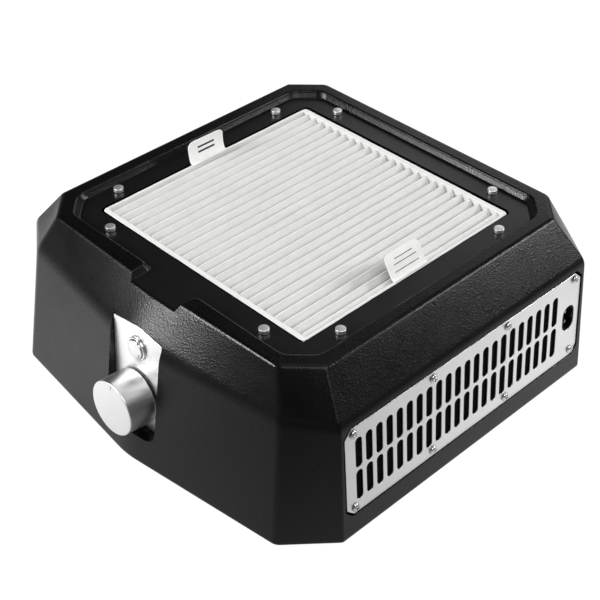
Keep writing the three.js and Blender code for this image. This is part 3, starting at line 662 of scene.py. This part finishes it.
def outer_levels():
    """Corner positions of the outer form, level by level."""
    plan = mirrored(BOTTOM_CORNERS)
    bottom = at_height(plan, SHELL_BOTTOM)
    crease = at_height(mirrored(CREASE_CORNERS), CREASE_Z)
    top = at_height(mirrored(TOP_CORNERS), TOP_Z)
    under, flat = inset(bottom, BOTTOM_EDGE), inset(top, TOP_EDGE)
    paths = []
    for i, (*_, trim) in enumerate(plan):
        foot = towards(bottom[i], crease[i], FOOT_TRIM)
        below, above = towards(crease[i], bottom[i], trim), towards(crease[i], top[i], trim)
        rim = towards(top[i], crease[i], TOP_EDGE)
        path = [bend(under[i], bottom[i], foot, k / 4) for k in range(4)]
        path += [foot.lerp(below, k / 8) for k in range(8)]
        path += [bend(below, crease[i], above, k / 8) for k in range(8)]
        path += [above.lerp(rim, k / 5) for k in range(5)]
        path += [bend(rim, top[i], flat[i], k / 5) for k in range(6)]
        paths.append(path)
    return list(zip(*paths))


def plan_ring(corners, steps=6, pitch=14.0):
    """Closed ring: corners rounded by their plan trim, straights divided."""
    spans = mirrored(BOTTOM_CORNERS)
    trims = [c[2] for c in spans]
    ring = []
    for i, here in enumerate(corners):
        after = corners[(i + 1) % len(corners)]
        length = (Vector(spans[(i + 1) % len(spans)][:2]) - Vector(spans[i][:2])).length
        if trims[i]:
            a, b = towards(here, corners[i - 1], trims[i]), towards(here, after, trims[i])
            ring += [bend(a, here, b, k / steps) for k in range(steps + 1)]
            start = b
        else:
            ring.append(here)
            start = here
        end = towards(after, here, trims[(i + 1) % len(corners)])
        count = round(length / pitch)
        ring += [start.lerp(end, k / count) for k in range(1, count)]
    return ring


def inner_form(name="cavity", wall=WALL):
    """Form a wall's thickness inside the outer one, up to the deck."""
    bottom, crease, top = (mirrored(c) for c in (BOTTOM_CORNERS, CREASE_CORNERS, TOP_CORNERS))
    share = (DECK_UNDERSIDE - CREASE_Z) / (TOP_Z - CREASE_Z)
    ceiling = [Vector(c[:2]).lerp(Vector(t[:2]), share) for c, t in zip(crease, top)]
    levels = [
        inset(at_height(bottom, SHELL_BOTTOM - 1), wall),
        inset(at_height(crease, CREASE_Z - 1), wall + 0.3),
        inset(at_height(ceiling, DECK_UNDERSIDE), wall + 0.9),
    ]
    return new_object(name, *stacked([plan_ring(c, 3, 60.0) for c in levels]))


def deck_outline(grow):
    """Sunken deck, open to the front through the channel."""
    edge = DECK_HALF + grow
    corner = edge - DECK_CHAMFER
    channel = CHANNEL_HALF + grow
    right = [
        (channel, -190, 0), (channel, -edge, 4), (corner, -edge, 5),
        (edge, -corner, 5), (edge, corner, 5), (corner, edge, 5),
    ]
    left = [(-x, y, trim) for x, y, trim in reversed(right)]
    return rounded([*right, *left], 6)


def deck_cutter(steps=6):
    """Deck recess with a soft foot and a soft upper lip."""
    levels = []
    for k in range(steps):
        a = math.pi / 2 * k / steps
        rise, out = DECK_FILLET * (1 - math.cos(a)), DECK_FILLET * (math.sin(a) - 1)
        levels.append((DECK_Z + rise, out))
    for k in range(steps + 1):
        a = math.radians(80) * k / steps
        rise, out = DECK_LIP * math.sin(a), DECK_LIP * (1 - math.cos(a))
        levels.append((TOP_Z - DECK_LIP + rise, DECK_DRAFT + out))
    widest = levels[-1][1] + 2
    levels += [(TOP_Z + 0.2, widest), (TOP_Z + 6, widest)]
    return slab("deck_cutter", deck_outline, levels)


def mouth_cutter(steps=6):
    """Rounds the edge where the channel floor runs out over the front slope."""
    middle, corner = (Vector(place_xy) for place_xy in CREASE_CORNERS[:2])
    top_y, half = -122, CHANNEL_HALF - 0.5
    share = (DECK_Z - CREASE_Z) / (TOP_Z - CREASE_Z)
    rings = []
    for x in (-half, 0, half):
        crease_y = middle.y + abs(x) * (corner.y - middle.y) / corner.x
        edge = Vector((x, crease_y + (top_y - crease_y) * share, DECK_Z))
        down = Vector((0, crease_y - top_y, CREASE_Z - TOP_Z)).normalized()
        a, b = edge + Vector((0, MOUTH_TRIM, 0)), edge + down * MOUTH_TRIM
        ring = [bend(a, edge, b, k / steps) for k in range(steps + 1)]
        ring = [a + Vector((0, 0.02, 0.02)), *ring[1:-1], b + Vector((0, -0.02, -0.02))]
        front = edge + Vector((0, -9, 0))
        rings.append([*ring, front, front + Vector((0, 0, 5)), a + Vector((0, 0, 5))])
    return new_object("mouth", *stacked(rings))


def panel_outline(grow):
    """Control plate, or its pocket when grown."""
    half = PANEL_HALF + grow
    return rounded([
        (-half, PANEL_BOTTOM - grow, 9),
        (half, PANEL_BOTTOM - grow, 9),
        (half, PANEL_SHOULDER + grow, 0.6),
        (0, PANEL_APEX + grow, 3),
        (-half, PANEL_SHOULDER + grow, 0.6),
    ], 8)


def vent_outline(grow):
    """Exhaust plate, or its recess when grown."""
    front, back = VENT_FRONT - grow, VENT_BACK + grow
    low, high = VENT_BOTTOM - grow, VENT_TOP + grow
    c = VENT_CHAMFER
    corners = [
        (front + c, low), (back - c, low), (back, low + c), (back, high - c),
        (back - c, high), (front + c, high), (front, high - c), (front, low + c),
    ]
    return rounded([(*corner, 0.8) for corner in corners], 4)


def vent_cutter():
    """Recess of the exhaust plate; its gap is wider above the plate and in front of it."""
    def outline(gap):
        return [(a + RECESS_SHIFT[0], b + RECESS_SHIFT[1]) for a, b in vent_outline(gap)]

    straight = [(RECESS_FLOOR, 1.1), (-0.2, 1.1)]
    rim = [(-0.08, 1.14), (0.02, 1.25), (0.2, 1.8), (6, 1.8)]
    return slab("vent_cutter", outline, straight + rim, RIGHT_WALL)


def screw_posts():
    """Four posts under the corners of the shell, each tied to the wall by a web."""
    posts = []
    for x, y in POST_PLACES:
        outwards = math.atan2(math.copysign(1, y), math.copysign(1, x))
        web = Matrix.Translation((x, y, 0)) @ Matrix.Rotation(outwards, 4, "Z")
        post = rod("post", x, y, POST_RADIUS, POST_LOW, POST_HIGH)
        tie = brick("web", (0, -2.5, POST_LOW), (40, 2.5, POST_HIGH), web)
        carve(post, tie, operation="UNION")
        carve(post, inner_form("limit", 1.2), operation="INTERSECT")
        carve(post, rod("bore", x, y, PILOT, POST_LOW - 1.6, POST_BORE_TOP, segments=16))
        posts.append(post)
    return posts


def build_shell(looks):
    """Moulded housing: faceted body, sunken deck, pocket, recess and openings."""
    rings = [plan_ring(corners) for corners in outer_levels()]
    shell = new_object("moulded_housing", *stacked(rings))
    posts = screw_posts()
    cavity = inner_form()
    pocket_back = [(POCKET_FLOOR - WALL, 0), (FAR, 0)]
    carve(
        cavity,
        slab("pocket_liner", lambda _: panel_outline(3.2), pocket_back, PANEL),
        slab("vent_liner", lambda _: vent_outline(1.6), [(-8, 0), (20, 0)], RIGHT_WALL),
    )
    opening = rectangle(-OPENING_HALF_X, -OPENING_HALF_Y, OPENING_HALF_X, OPENING_HALF_Y, 5, 6)
    u, v = INLET
    cutters = [
        cavity,
        deck_cutter(),
        mouth_cutter(),
        slab("opening", lambda _: opening, [(100, 0), (TOP_Z, 0)]),
        slab("pocket", lambda _: panel_outline(0.5), [(POCKET_FLOOR, 0), (FAR, 0)], PANEL),
        rod("pot_hole", 0, 0, SHAFT_HOLE, -30, 5, PANEL),
        rod("button_hole", 0, BUTTON_UP, BUTTON_HOLE, -30, 5, PANEL),
        vent_cutter(),
        brick("window", (*WINDOW[:2], -30), (*WINDOW[2:], 5), RIGHT_WALL),
        brick("inlet_window", (u - 8.1, v - 12.3, -30), (u + 8.1, v + 12.3, 5), RIGHT_WALL),
    ]
    cutters += [rod("pilot", a, b, PILOT, -30, 5, RIGHT_WALL, 16) for a, b in SCREW_PLACES]
    cutters += [rod("stud_hole", x, y, 1.9, 90, TOP_Z, None, 16) for x, y in STUD_PLACES]
    carve(shell, *cutters)
    carve(shell, *posts, operation="UNION")
    shell.data.materials.clear()
    for look in looks:
        shell.data.materials.append(look)
    for face in shell.data.polygons:
        deck = abs(face.center.z / MM - DECK_Z) < 0.3 and face.normal.z > 0.9
        face.material_index = 1 if deck else 0
    settle(shell, None, "chassis", "shell_plastic", "housing_shell", sharp=30)


# ------------ filter


def filter_rectangle(half_x, half_y, radius):
    return dense(rectangle(-half_x, -half_y, half_x, half_y, radius, 6), 4.0)


def build_cassette_frame(look, gap_shade_look):
    """White fleece band round the pleats; its outer sides below the rim are near-black, painted
    shade for the dark gap between the filter and the deck.
    """
    inner_x, inner_y = FILTER_HALF_X - FILTER_SIDE, FILTER_HALF_Y - FILTER_END

    def loops(inset_by):
        return [
            filter_rectangle(FILTER_HALF_X - inset_by, FILTER_HALF_Y - inset_by, 3.5),
            filter_rectangle(inner_x + inset_by, inner_y + inset_by, 0.8),
        ]

    made = pierced("cassette_frame", loops, edge_levels(FILTER_BOTTOM, FILTER_TOP, 0.7))
    for vertex in made.data.vertices:
        wander = noise.noise(vertex.co * 90) * 0.00018
        vertex.co.z += wander if vertex.co.z > 0.109 else 0.0
    settle(made, look, "filter_cassette", "filter_white", "filter_frame", sharp=60)
    made.data.materials.append(gap_shade_look)
    # outer sides below the rim take the near-black look: painted shade for the gap around the
    # filter
    for face in made.data.polygons:
        x, y = face.center.x / MM - SHIFT.x, face.center.y / MM - SHIFT.y
        outer = abs(x) > FILTER_HALF_X - 0.5 or abs(y) > FILTER_HALF_Y - 0.5
        if outer and face.center.z / MM < FILTER_TOP - 0.35:
            face.material_index = 1


def pleat_line(top):
    """Folded media from one side to the other, as (x, z)."""
    half = PLEATS * PLEAT_PITCH / 2
    corners = [(-half + 0.4, top - PLEAT_DEPTH, 0)]
    for k in range(PLEATS):
        x = (k + 0.5) * PLEAT_PITCH - half
        corners.append((x - SHOULDER_HALF, top - SHOULDER_DROP, 1.2))
        corners.append((x, top + CREST_RISE, 2.0))
        corners.append((x + SHOULDER_HALF, top - SHOULDER_DROP, 1.2))
        corners.append((x + PLEAT_PITCH / 2, top - PLEAT_DEPTH, 1.4))
    corners[-1] = (half - 0.4, top - PLEAT_DEPTH, 0)
    return rounded(corners, 5, closed=False)


def build_media(look):
    """Pleated media: one folded sheet, ridges slightly irregular."""
    rows = 72
    half_y = FILTER_HALF_Y - FILTER_END - 0.3
    line = pleat_line(FILTER_TOP - 0.5)
    rings = []
    for row in range(rows + 1):
        y = -half_y + 2 * half_y * row / rows
        upper = []
        for x, z in line:
            ridge = max(0.0, (z - 96) / 14)
            sway = noise.noise(Vector((x * 0.55, y * 0.035, 3.7))) * 0.35 * ridge
            lift = noise.noise(Vector((x * 0.4, y * 0.05, 9.1))) * 0.3 * ridge
            upper.append((x + sway, y, z + min(0.0, lift)))
        lower = [(x, y, z - MEDIA_THICKNESS) for x, y, z in reversed(upper)]
        rings.append(upper + lower)
    made = new_object("pleated_media", *stacked(rings))
    settle(made, look, "filter_cassette", "filter_white", "filter_media", sharp=75)


def smooth_line(points, count):
    """Even points along a smooth curve through the given ones."""
    fine = []
    padded = [points[0], *points, points[-1]]
    for a, b, c, d in zip(padded, padded[1:], padded[2:], padded[3:]):
        a, b, c, d = (Vector(p) for p in (a, b, c, d))
        for k in range(12):
            t = k / 12
            fine.append(0.5 * (2 * b + (c - a) * t + (2 * a - 5 * b + 4 * c - d) * t * t
                               + (3 * b - a - 3 * c + d) * t ** 3))
    fine.append(Vector(points[-1]))
    lengths = [0.0]
    for p, q in zip(fine, fine[1:]):
        lengths.append(lengths[-1] + (q - p).length)
    out = []
    for k in range(count + 1):
        goal = lengths[-1] * k / count
        i = max(j for j, s in enumerate(lengths) if s <= goal + 1e-9)
        if i + 1 == len(fine):
            out.append((fine[-1], lengths[-1]))
            continue
        share = (goal - lengths[i]) / (lengths[i + 1] - lengths[i])
        out.append((fine[i].lerp(fine[i + 1], share), goal))
    return out


def build_tab(name, look, line, y_centre, twist, replaced):
    """Bent pull tab with round corners: a grid bent along the line."""
    steps, across, radius = 26, 16, TAB_CORNER
    path = smooth_line(line, steps)
    total = path[-1][1]
    front, back, drawn = [], [], []
    for i, (spot, run) in enumerate(path):
        ahead = path[min(i + 1, steps)][0] - path[max(i - 1, 0)][0]
        side = Vector((-ahead[1], ahead[0])).normalized() * TAB_THICKNESS / 2
        left = max(0.0, radius - (total - run))
        narrow = radius - math.sqrt(max(0.0, radius ** 2 - left ** 2))
        half = TAB_WIDTH / 2 - narrow
        for j in range(across + 1):
            y = -half + 2 * half * j / across
            curl = twist * (run / total) ** 2 * (y / TAB_WIDTH)
            front.append((spot[0] + side.x + curl, y_centre + y, spot[1] + side.y))
            back.append((spot[0] - side.x + curl, y_centre + y, spot[1] - side.y))
            drawn.append((y, run, 0.0))
    width, size = across + 1, len(front)
    faces = []
    for i in range(steps):
        for j in range(across):
            a = i * width + j
            faces.append((a, a + 1, a + width + 1, a + width))
            faces.append((size + a, size + a + width, size + a + width + 1, size + a + 1))
    rim = list(range(width))
    rim += [i * width + across for i in range(1, steps + 1)]
    rim += [steps * width + j for j in range(across - 1, -1, -1)]
    rim += [i * width for i in range(steps - 1, 0, -1)]
    for a, b in zip(rim, rim[1:] + rim[:1]):
        faces.append((a, size + a, size + b, b))
    made = new_object(name, front + back, faces)
    keep_drawn(made, drawn + drawn)
    settle(made, look, "filter_cassette", "filter_white", replaced, sharp=60)


def build_tabs(looks):
    foot = FILTER_TOP + 0.7
    x = FILTER_HALF_X
    build_tab("left_tab", looks[0], [
        (-x + 2.6, foot), (-x + 0.6, foot + 0.7), (-x - 0.5, foot + 3),
        (-x - 1.2, foot + 7), (-x - 1.4, foot + 11), (-x - 1.0, foot + 15.5),
    ], -1.5, 0.8, "pull_tab_left")
    build_tab("right_tab", looks[1], [
        (x - 0.6, foot), (x - 2.6, foot + 0.8), (x - 4.4, foot + 3.4),
        (x - 6.4, foot + 7), (x - 8.6, foot + 10.4), (x - 11.3, foot + 13.3),
    ], 0.0, 0.0, "pull_tab_right")


# ------------ studs


def build_studs(look):
    """Studs with flat bright heads that clamp the filter well."""
    shank, head, foot, under, top = 1.6, 3.25, 101.7, DECK_Z + 0.3, 114.3
    for i, (x, y) in enumerate(STUD_PLACES):
        made = turned(f"bright_stud_{i + 1}", [
            (0, foot), (shank, foot, 0.3), (shank, under), (head, under, 0.2),
            (head, top - 0.2, 0.4), (1.5, top - 0.05), (0, top),
        ], 32, (x, y))
        settle(made, look, "chassis", "stud_chrome", f"deck_stud_{i + 1}", sharp=50)


# ------------ front controls


def build_control_plate(look):
    def loops(inset_by):
        return [
            panel_outline(-inset_by),
            circle(0, 0, SHAFT_HOLE + inset_by),
            circle(0, BUTTON_UP, BUTTON_HOLE + inset_by),
        ]

    made = pierced("satin_control_plate", loops, edge_levels(-PANEL_THICKNESS, 0, 0.3), PANEL)
    settle(made, look, "chassis", "panel_metal", "control_plate")


def build_knob(look):
    """Solid turned knob with a short pointer groove in its face."""
    made = turned("turned_knob", [
        (0, 17.3), (3.3, 17.3), (3.3, 5), (9, 5), (9, KNOB_BACK),
        (KNOB_RADIUS, KNOB_BACK, 0.6), (KNOB_RADIUS - 0.2, KNOB_FRONT, 0.8),
        *[(radius, KNOB_FRONT) for radius in (15, 10, 5, 0)],
    ], 96, into=PANEL)
    groove = rectangle(-0.5, KNOB_RADIUS - 4.6, 0.5, KNOB_RADIUS - 1.6, 0.45, 4)
    depths = [(KNOB_FRONT - 0.4, 0), (KNOB_FRONT + 2, 0)]
    carve(made, slab("groove", lambda _: groove, depths, PANEL))
    back = PANEL.inverted()
    keep_drawn(made, [back @ (vertex.co / MM - SHIFT) for vertex in made.data.vertices])
    settle(made, look, "knob", "knob_metal", "speed_knob")


def build_button(look, ring_look):
    inner = BUTTON_RADIUS + 0.3
    bezel = turned("button_bezel", [
        (0, -9), (inner, -9), (inner, 1.7, 0.35), (BEZEL_RADIUS, 1.7, 0.6),
        (BEZEL_RADIUS, 0.3), (7.3, 0.3), (7.3, -19), (0, -19),
    ], 64, (0, BUTTON_UP), PANEL)
    settle(bezel, ring_look, "chassis", "button_chrome", "button_housing")
    button = turned("round_push_button", [
        (0, -6.7), (BUTTON_RADIUS, -6.7), (BUTTON_RADIUS, 2.45, 0.5), (3, 2.8), (0, 2.9),
    ], 64, (0, BUTTON_UP), PANEL)
    settle(button, look, "button", "button_chrome", "push_button")


# ------------ right wall


def slot_outline(x, y, width, length, steps=8):
    """Upright slot with full-round ends."""
    radius = width / 2
    rise = length / 2 - radius
    out = []
    for end in range(2):
        for k in range(steps + 1):
            a = math.pi * (end + k / steps)
            side = rise if end == 0 else -rise
            out.append((x + radius * math.cos(a), y + side + radius * math.sin(a)))
    return out


def figure_eight(lobe, steps=20):
    """Outline of the mains inlet: two lobes one above the other."""
    u, v = INLET
    waist = math.acos(LOBE_SPACING / lobe)
    out = []
    for side in (1, -1):
        start = waist - side * math.pi / 2
        sweep = 2 * math.pi - 2 * waist
        for k in range(steps):
            a = start + sweep * k / steps
            out.append((u + lobe * math.cos(a), v + side * LOBE_SPACING + lobe * math.sin(a)))
    return out


def build_vent_plate(look):
    def loops(inset_by):
        width, length = SLOT_WIDTH + 2 * inset_by, SLOT_LENGTH + 2 * inset_by
        slots = [
            slot_outline(SLOT_FIRST + k * SLOT_PITCH, row, width, length)
            for row in SLOT_ROWS
            for k in range(SLOT_COUNT)
        ]
        pilots = [circle(a, b, PILOT + inset_by, 16) for a, b in SCREW_PLACES]
        hole = 2 * (INLET_LOBE + 0.3 + inset_by)
        inlet = slot_outline(*INLET, hole, hole + 2 * LOBE_SPACING)
        return [vent_outline(-inset_by), *slots, inlet, *pilots]

    levels = edge_levels(VENT_REAR, VENT_FACE, 0.22)
    made = pierced("slotted_exhaust_plate", loops, levels, RIGHT_WALL)
    settle(made, look, "chassis", "panel_metal", "vent_plate")


def build_vent_screws(look):
    """Round-head screws with a cross recess."""
    seat = VENT_FACE + 0.3
    low, high = seat + 0.55, seat + 3
    long, thin = 1.6, 0.33
    for i, (a, b) in enumerate(SCREW_PLACES):
        made = turned(f"round_head_screw_{i + 1}", [
            (0, -7.4), (1.5, -7.4, 0.3), (1.5, seat), (2.86, seat),
            (2.7, seat + 0.9, 0.5), (1.6, seat + 1.6, 0.6), (0, seat + 1.65),
        ], 32, (a, b), RIGHT_WALL)
        turn = RIGHT_WALL @ Matrix.Translation((a, b, 0)) @ Matrix.Rotation(0.5 + i * 0.9, 4, "Z")
        for a, b in ((long, thin), (thin, long)):
            carve(made, brick("cross", (-a, -b, low), (a, b, high), turn))
        settle(made, look, "chassis", "screw_steel", f"vent_screw_{i + 1}", sharp=40)


def build_screen(look):
    """Black wire screen behind the slots: two layers of thin crossed wires."""
    low_x, low_y, high_x, high_y = (a + b for a, b in zip(WINDOW, (-1, -1, 1, 1)))
    pitch, radius, sides = 2.3, 0.27, 6
    points, faces = [], []

    def wire(start, end, z):
        along = (end - start).normalized()
        across = Vector((-along.y, along.x))
        base = len(points)
        for spot in (start, end):
            for out, up in circle(0, 0, radius, sides):
                at = spot + across * out
                points.append((at.x, at.y, z + up))
        faces.extend(band(base, base + sides, sides))
        faces.append(tuple(base + k for k in reversed(range(sides))))
        faces.append(tuple(base + sides + k for k in range(sides)))

    height = high_y - low_y
    for lean, z in ((1, VENT_REAR - 0.6), (-1, VENT_REAR - 1.05)):
        x = low_x - height
        while x < high_x + height:
            start, end = Vector((x, low_y)), Vector((x + lean * height, high_y))
            run = end - start
            cuts = sorted(((low_x - start.x) / run.x, (high_x - start.x) / run.x))
            t0, t1 = max(0.0, cuts[0]), min(1.0, cuts[1])
            if t1 - t0 > 0.01:
                wire(start + run * t0, start + run * t1, z)
            x += pitch
    made = new_object("wire_screen", points, faces, RIGHT_WALL)
    settle(made, look, "chassis", "mesh_black", "vent_mesh", sharp=80)


def build_inlet(look):
    """Figure-8 socket with its body behind the wall."""
    u, v = INLET
    block = rectangle(u - 7.8, v - 12, u + 7.8, v + 12, 1)
    made = slab("figure_8_inlet", lambda _: block, [(-21, 0), (VENT_REAR - 0.3, 0)], RIGHT_WALL)
    rim = [(VENT_REAR - 1, 0), (-1.1, 0), (-0.95, 0.06), (-0.9, 0.2)]
    collar = slab("collar", lambda trim: figure_eight(INLET_LOBE - trim), rim, RIGHT_WALL)
    carve(made, collar, operation="UNION")
    bore = figure_eight(INLET_LOBE - 1)
    socket = slab("socket", lambda _: bore, [(-12, 0), (5, 0)], RIGHT_WALL)
    pins = [rod("pin_hole", u, v + side * 3.9, 1.5, -17, 0, RIGHT_WALL, 16) for side in (-1, 1)]
    carve(made, socket, *pins)
    settle(made, look, "chassis", "inlet_plastic", "mains_inlet", sharp=40)


# ------------ carried CAD nodes


def carried_looks():
    """Finish of each CAD node that is shown as it is, by the start of its name."""
    steel = satin_metal("zinc_plated_steel", 0.55, 0.32)
    dark = plain_plastic("dark_moulding", grey(0.012), 0.5)
    return {
        "base_plate": dark,
        "rubber_foot": foam_rubber("black_rubber", 0.012, 0.85, 900, 0.03),
        "base_screw": steel,
        "filter_well": plain_plastic("well_plastic", grey(0.014), 0.5, 0.03),
        "filter_gasket": foam_rubber("gasket_foam", 0.02, 0.95, 1400, 0.12),
        "finger_guard": satin_metal("guard_wire", 0.12, 0.45),
        "fan_inlet_ring": plain_plastic("inlet_ring_plastic", grey(0.018), 0.45),
        "fan_impeller": plain_plastic("impeller_plastic", (0.022, 0.025, 0.03), 0.38),
        "fan_rotor_cup": satin_metal("rotor_steel", 0.42, 0.35),
        "motor_stator": wound_copper("wound_stator"),
        "well_post": satin_metal("post_steel", 0.5, 0.35),
        "knob_shaft": satin_metal("shaft_steel", 0.6, 0.25),
        "knob_potentiometer": plain_plastic("potentiometer_case", (0.03, 0.035, 0.045), 0.5),
        "potentiometer_nut": satin_metal("nut_steel", 0.6, 0.25),
        "button_nut": satin_metal("brass_nut", 0.55, 0.3),
        "board_carrier": plain_plastic("carrier_plastic", grey(0.02), 0.5),
        "control_board": circuit_board("solder_mask"),
        "triac_heat_sink": satin_metal("anodised_sink", 0.5, 0.4, (1, 1, 8)),
        "mains_lead": plain_plastic("lead_sheath", grey(0.012), 0.55),
        "motor_lead": plain_plastic("motor_lead_sheath", (0.06, 0.02, 0.015), 0.55),
        "control_lead": plain_plastic("control_lead_sheath", (0.015, 0.03, 0.07), 0.55),
        "inlet_pin": satin_metal("pin_brass", 0.6, 0.25),
    }


def finish_carried():
    """Softened edges and a finish for every CAD node that stays in view."""
    looks = carried_looks()
    for name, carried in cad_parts.items():
        if carried.hide_render:
            continue
        look = next(value for key, value in looks.items() if name.startswith(key))
        carried.data.materials.clear()
        carried.data.materials.append(look)
        normals = carried.data.attributes.get("custom_normal")
        if normals is not None:
            carried.data.attributes.remove(normals)
        carried.data.shade_smooth()
        weld = carried.modifiers.new("weld", "WELD")
        weld.merge_threshold = 1e-5
        soften = carried.modifiers.new("soften", "BEVEL")
        soften.width = 0.00025
        soften.segments = 2
        soften.limit_method = "ANGLE"
        soften.angle_limit = math.radians(40)
        weigh = carried.modifiers.new("weighted_normals", "WEIGHTED_NORMAL")
        weigh.keep_sharp = True


# ------------ studio


def seen_or(look, seen, other):
    """One value where the table is seen directly, another for what it lights."""
    camera_ray = node(look, "LightPath").outputs["Is Camera Ray"]
    mix = node(look, "Mix", {0: camera_ray, 2: other, 3: seen}, data_type="FLOAT")
    return mix.outputs[0]


def build_floor():
    """White table that glows: the camera sees an even white, while the light it throws back is
    painted on it, less near the front right and far out, and more from a glowing spot in front of
    and left of the knob.
    """
    data = bpy.data.meshes.new("floor")
    half = 8.0
    data.from_pydata([(-half, -half, 0), (half, -half, 0), (half, half, 0), (-half, half, 0)],
                     [], [(0, 1, 2, 3)])
    floor = bpy.data.objects.new("floor", data)
    bpy.context.scene.collection.objects.link(floor)
    look = new_look("white_table", 0.9, level=0.0)
    inputs = shader_inputs(look)
    inputs["Base Color"].default_value = (0.08, 0.08, 0.08, 1)
    inputs["Emission Color"].default_value = (1, 1, 1, 1)
    at = where(look)
    parts = node(look, "SeparateXYZ", {0: at})
    side = node(look, "Math", {0: parts.outputs["X"], 1: parts.outputs["Y"]}, operation="SUBTRACT")
    near = spread(look, side.outputs[0], 0.92, 0.17, 0.05, 0.45)
    reach = node(look, "VectorMath", {0: at}, operation="LENGTH").outputs["Value"]
    far = spread(look, reach, 1.0, 0.12, 0.3, 0.75)
    even = node(look, "Math", {0: near, 1: far}, operation="MULTIPLY").outputs[0]
    # painted light: a glowing spot on the table in front of the knob, throwing extra light onto
    # its face
    glow_spot = node(look, "VectorMath", {0: at, 1: (-0.1, -0.26, 0)}, operation="DISTANCE")
    lift = spread(look, glow_spot.outputs["Value"], 0.35, 0.0, 0.05, 0.13)
    thrown = node(look, "Math", {0: even, 1: lift}, operation="ADD").outputs[0]
    look.node_tree.links.new(seen_or(look, 0.97, thrown), inputs["Emission Strength"])
    data.materials.append(look)


def build_world():
    """White backdrop; the room above it is dark."""
    world = bpy.data.worlds.new("studio")
    world.use_nodes = True
    bpy.context.scene.world = world
    height = node(world, "SeparateXYZ", {0: node(world, "TexCoord").outputs["Generated"]})
    ramp = node(world, "ValToRGB", {"Fac": height.outputs["Z"]})
    stops = ramp.color_ramp.elements
    stops[0].position, stops[0].color = 0.0, (0.35, 0.35, 0.35, 1)
    stops[1].position, stops[1].color = 0.6, (0.04, 0.04, 0.04, 1)
    for at, value in ((0.12, 0.3), (0.35, 0.08)):
        stops.new(at).color = (value, value, value, 1)
    background = world.node_tree.nodes["Background"]
    room = node(world, "SeparateColor", {0: ramp.outputs["Color"]}).outputs[0]
    world.node_tree.links.new(seen_or(world, 1.0, room), background.inputs["Strength"])
    background.inputs["Color"].default_value = (1, 1, 1, 1)


def softbox(name, azimuth, elevation, distance, size, radiance, aim=(0, 0, 0.09)):
    """Soft panel light; azimuth is counter-clockwise from +X, degrees."""
    a, e = math.radians(azimuth), math.radians(elevation)
    out = Vector((math.cos(a) * math.cos(e), math.sin(a) * math.cos(e), math.sin(e)))
    data = bpy.data.lights.new(name, "AREA")
    data.shape = "RECTANGLE"
    data.size, data.size_y = size
    data.energy = radiance * math.pi * size[0] * size[1]
    lamp = bpy.data.objects.new(name, data)
    bpy.context.scene.collection.objects.link(lamp)
    lamp.location = Vector(aim) + out * distance
    lamp.rotation_mode = "QUATERNION"
    lamp.rotation_quaternion = (-out).to_track_quat("-Z", "Y")
    lamp.visible_camera = False


def build_lights():
    softbox("overhead", 100, 74, 1.2, (0.8, 0.6), 0.9)
    softbox("side_fill", -15, 54, 1.4, (1.0, 0.8), 3.7)
    softbox("front_left", -118, 27, 1.3, (0.3, 0.4), 46)
    softbox("back_panel", 114, 25, 1.6, (1.0, 0.6), 1.3)
    softbox("right_panel", 52, 27, 1.5, (0.3, 0.46), 23)


# ------------ main


def main():
    bpy.context.scene.view_settings.view_transform = "Standard"
    make_camera()
    build_floor()
    build_world()
    build_lights()
    housing = grained_plastic("leather_grain_abs", 0.0012, 0.28, 1.05, 0.085, 0.25)
    deck = grained_plastic("fine_grain_abs", 0.004, 0.3, 0.9, 0.015, 0.34)
    build_shell([housing, deck])
    fleece = nonwoven("filter_fleece", 0.73, 0.08)
    # the frame's near-black sides are painted shade for the gap between the filter and the deck
    build_cassette_frame(fleece, foam_rubber("painted_gap_shade", 0.008, 0.95, 1400, 0.1))
    build_media(fleece)
    left_marks = ink_bars((11.2, 1.5, 7.15), (7.6, 1.5, 7.15))
    right_marks = ink_bars((12.8, 0.5, 7.8), (9.6, 0.5, 9.75), (5.2, 0.5, 10.4))
    # one fleece is given different lightness on the filter (0.73), the left tab (0.9) and the
    # right tab (0.95), set to how each is lit: painted light and shade
    build_tabs([
        nonwoven("left_tab_fleece", 0.9, 0.05, left_marks),
        nonwoven("right_tab_fleece", 0.95, 0.05, right_marks),
    ])
    chrome = bright_chrome("bright_chrome")
    build_studs(satin_metal("stud_nickel", 0.9, 0.42))
    # the control plate and the vent plate are one panel metal, given different lightness (0.95 and
    # 0.8) to match how each is lit: painted light and shade
    build_control_plate(satin_metal("satin_plate", 0.95, 0.32, depth=0.008))
    build_knob(turned_metal("turned_aluminium", 0.82, 0.34))
    build_button(satin_metal("button_steel", 0.82, 0.2), chrome)
    build_vent_plate(satin_metal("satin_vent_plate", 0.8, 0.36, depth=0.008))
    build_vent_screws(bright_chrome("screw_plating", 0.68, 0.13))
    build_screen(plain_plastic("coated_wire", grey(0.003), 0.3, level=0.12))
    build_inlet(plain_plastic("inlet_plastic", grey(0.004), 0.5, level=0.1))
    finish_carried()


main()
